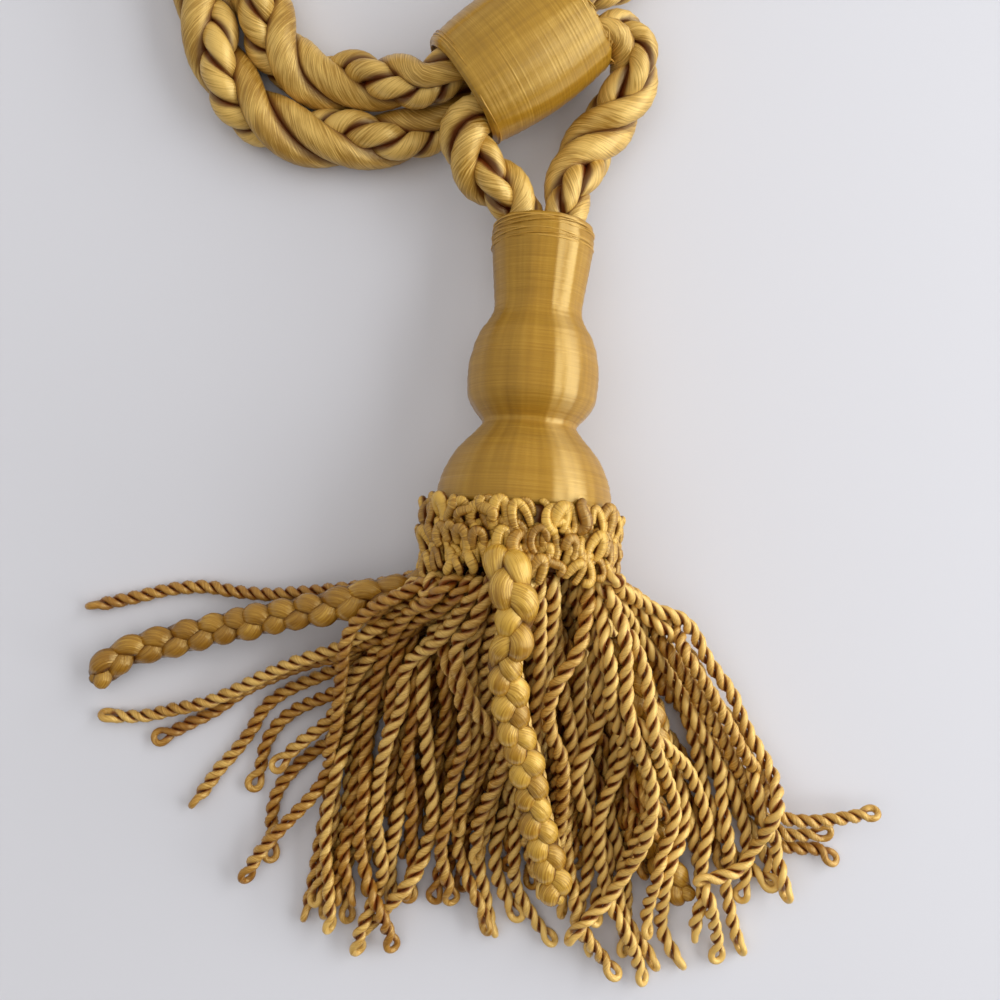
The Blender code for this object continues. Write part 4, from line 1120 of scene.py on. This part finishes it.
# Rows of loops: place along the axis, reach from it, number, half width, half height, thickness.
RUFF_ROWS = {
    "ruff_inner_loops": [(6.0, 21.8, 36, 1.5, 2.6, 1.0), (2.4, 21.6, 38, 1.4, 2.3, 1.0),
                         (-2.6, 21.6, 38, 1.4, 2.3, 1.0)],
    "ruff_outer_loops": [(6.2, 22.9, 32, 1.6, 2.8, 1.2), (0.4, 23.0, 35, 1.5, 2.4, 1.1),
                         (-4.6, 22.5, 37, 1.4, 2.1, 1.0)],
}
for layer_name, layer_rows in RUFF_ROWS.items():
    loops = [gimp_loop(2 * math.pi * (number + ruff_rng.uniform(-0.3, 0.3)) / row_count,
                       row_along + ruff_rng.uniform(-0.9, 0.9), row_reach + ruff_rng.uniform(-0.5, 0.5),
                       row_wide * ruff_rng.uniform(0.85, 1.25), row_tall * ruff_rng.uniform(0.8, 1.2),
                       row_size * ruff_rng.uniform(0.75, 1.15))
             for row_along, row_reach, row_count, row_wide, row_tall, row_size in layer_rows
             for number in range(row_count)]
    ruff_pieces.append(yarn_object(layer_name, rested(loops), ruff_gimp))
for piece in ruff_pieces:
    attach(piece, "ruff")


# ---------------------------------------------------------------- table and light
# A pale matt table top, a tall window of two panes to the right, and a light room round it all.
bpy.ops.mesh.primitive_plane_add(size=6.0, location=(0.0, 0.0, -0.0001))
table = bpy.context.object
table.name = "table_top"
table_paint = bpy.data.materials.new("matt_white_laminate")
table_paint.use_nodes = True
paint = table_paint.node_tree.nodes["Principled BSDF"]
paint.inputs["Base Color"].default_value = linear("#d6d6db")
paint.inputs["Roughness"].default_value = 0.6
table.data.materials.append(table_paint)


def area_light(name, size, power, colour, place):
    """A soft light of the given size in metres, facing down until it is turned."""
    light = bpy.data.objects.new(name, bpy.data.lights.new(name, "AREA"))
    bpy.context.scene.collection.objects.link(light)
    light.data.shape = "RECTANGLE"
    light.data.size, light.data.size_y = size
    light.data.energy = power
    light.data.color = colour
    light.location = place
    return light


for pane_name, pane_z, pane_tall, pane_power in (
        ("window_lower", 0.27, 0.36, 7.2), ("window_upper", 0.85, 0.56, 8.9)):
    pane = area_light(pane_name, (1.4, pane_tall), pane_power, (0.95, 0.975, 1.0), (0.85, 0.18, pane_z))
    pane.rotation_euler = (math.radians(90.0), 0.0, math.radians(90.0))
ceiling = area_light("ceiling_bounce", (1.6, 1.6), 7.2, (1.0, 0.985, 0.97), (-0.4, 0.2, 1.5))
ceiling.visible_glossy = False

world = bpy.data.worlds.new("light_room")
bpy.context.scene.world = world
world.use_nodes = True

# Somebody stands at the near edge of the table, so less of the room's light comes from there;
# the camera itself sees the pale room all round.
room = world.node_tree
direction = add_node(room, "ShaderNodeTexCoord")
parted = add_node(room, "ShaderNodeSeparateXYZ", {}, {"Vector": (direction, "Generated")})
near_side = add_node(room, "ShaderNodeMapRange", {"From Min": -0.85, "From Max": -0.05},
                     {"Value": (parted, "Y")})
room_light = add_node(room, "ShaderNodeValToRGB", {}, {"Fac": (near_side, "Result")})
room_light.color_ramp.elements[0].color = linear("#5c5350")
room_light.color_ramp.elements[1].color = linear("#f3f1f0")
seen = add_node(room, "ShaderNodeLightPath")
backdrop = mixed(room, (seen, "Is Camera Ray"), room_light.outputs["Color"], "#f3f1f0")
room.links.new(backdrop, room.nodes["Background"].inputs["Color"])
room.nodes["Background"].inputs["Strength"].default_value = 0.61
bpy.context.scene.view_settings.view_transform = "Standard"
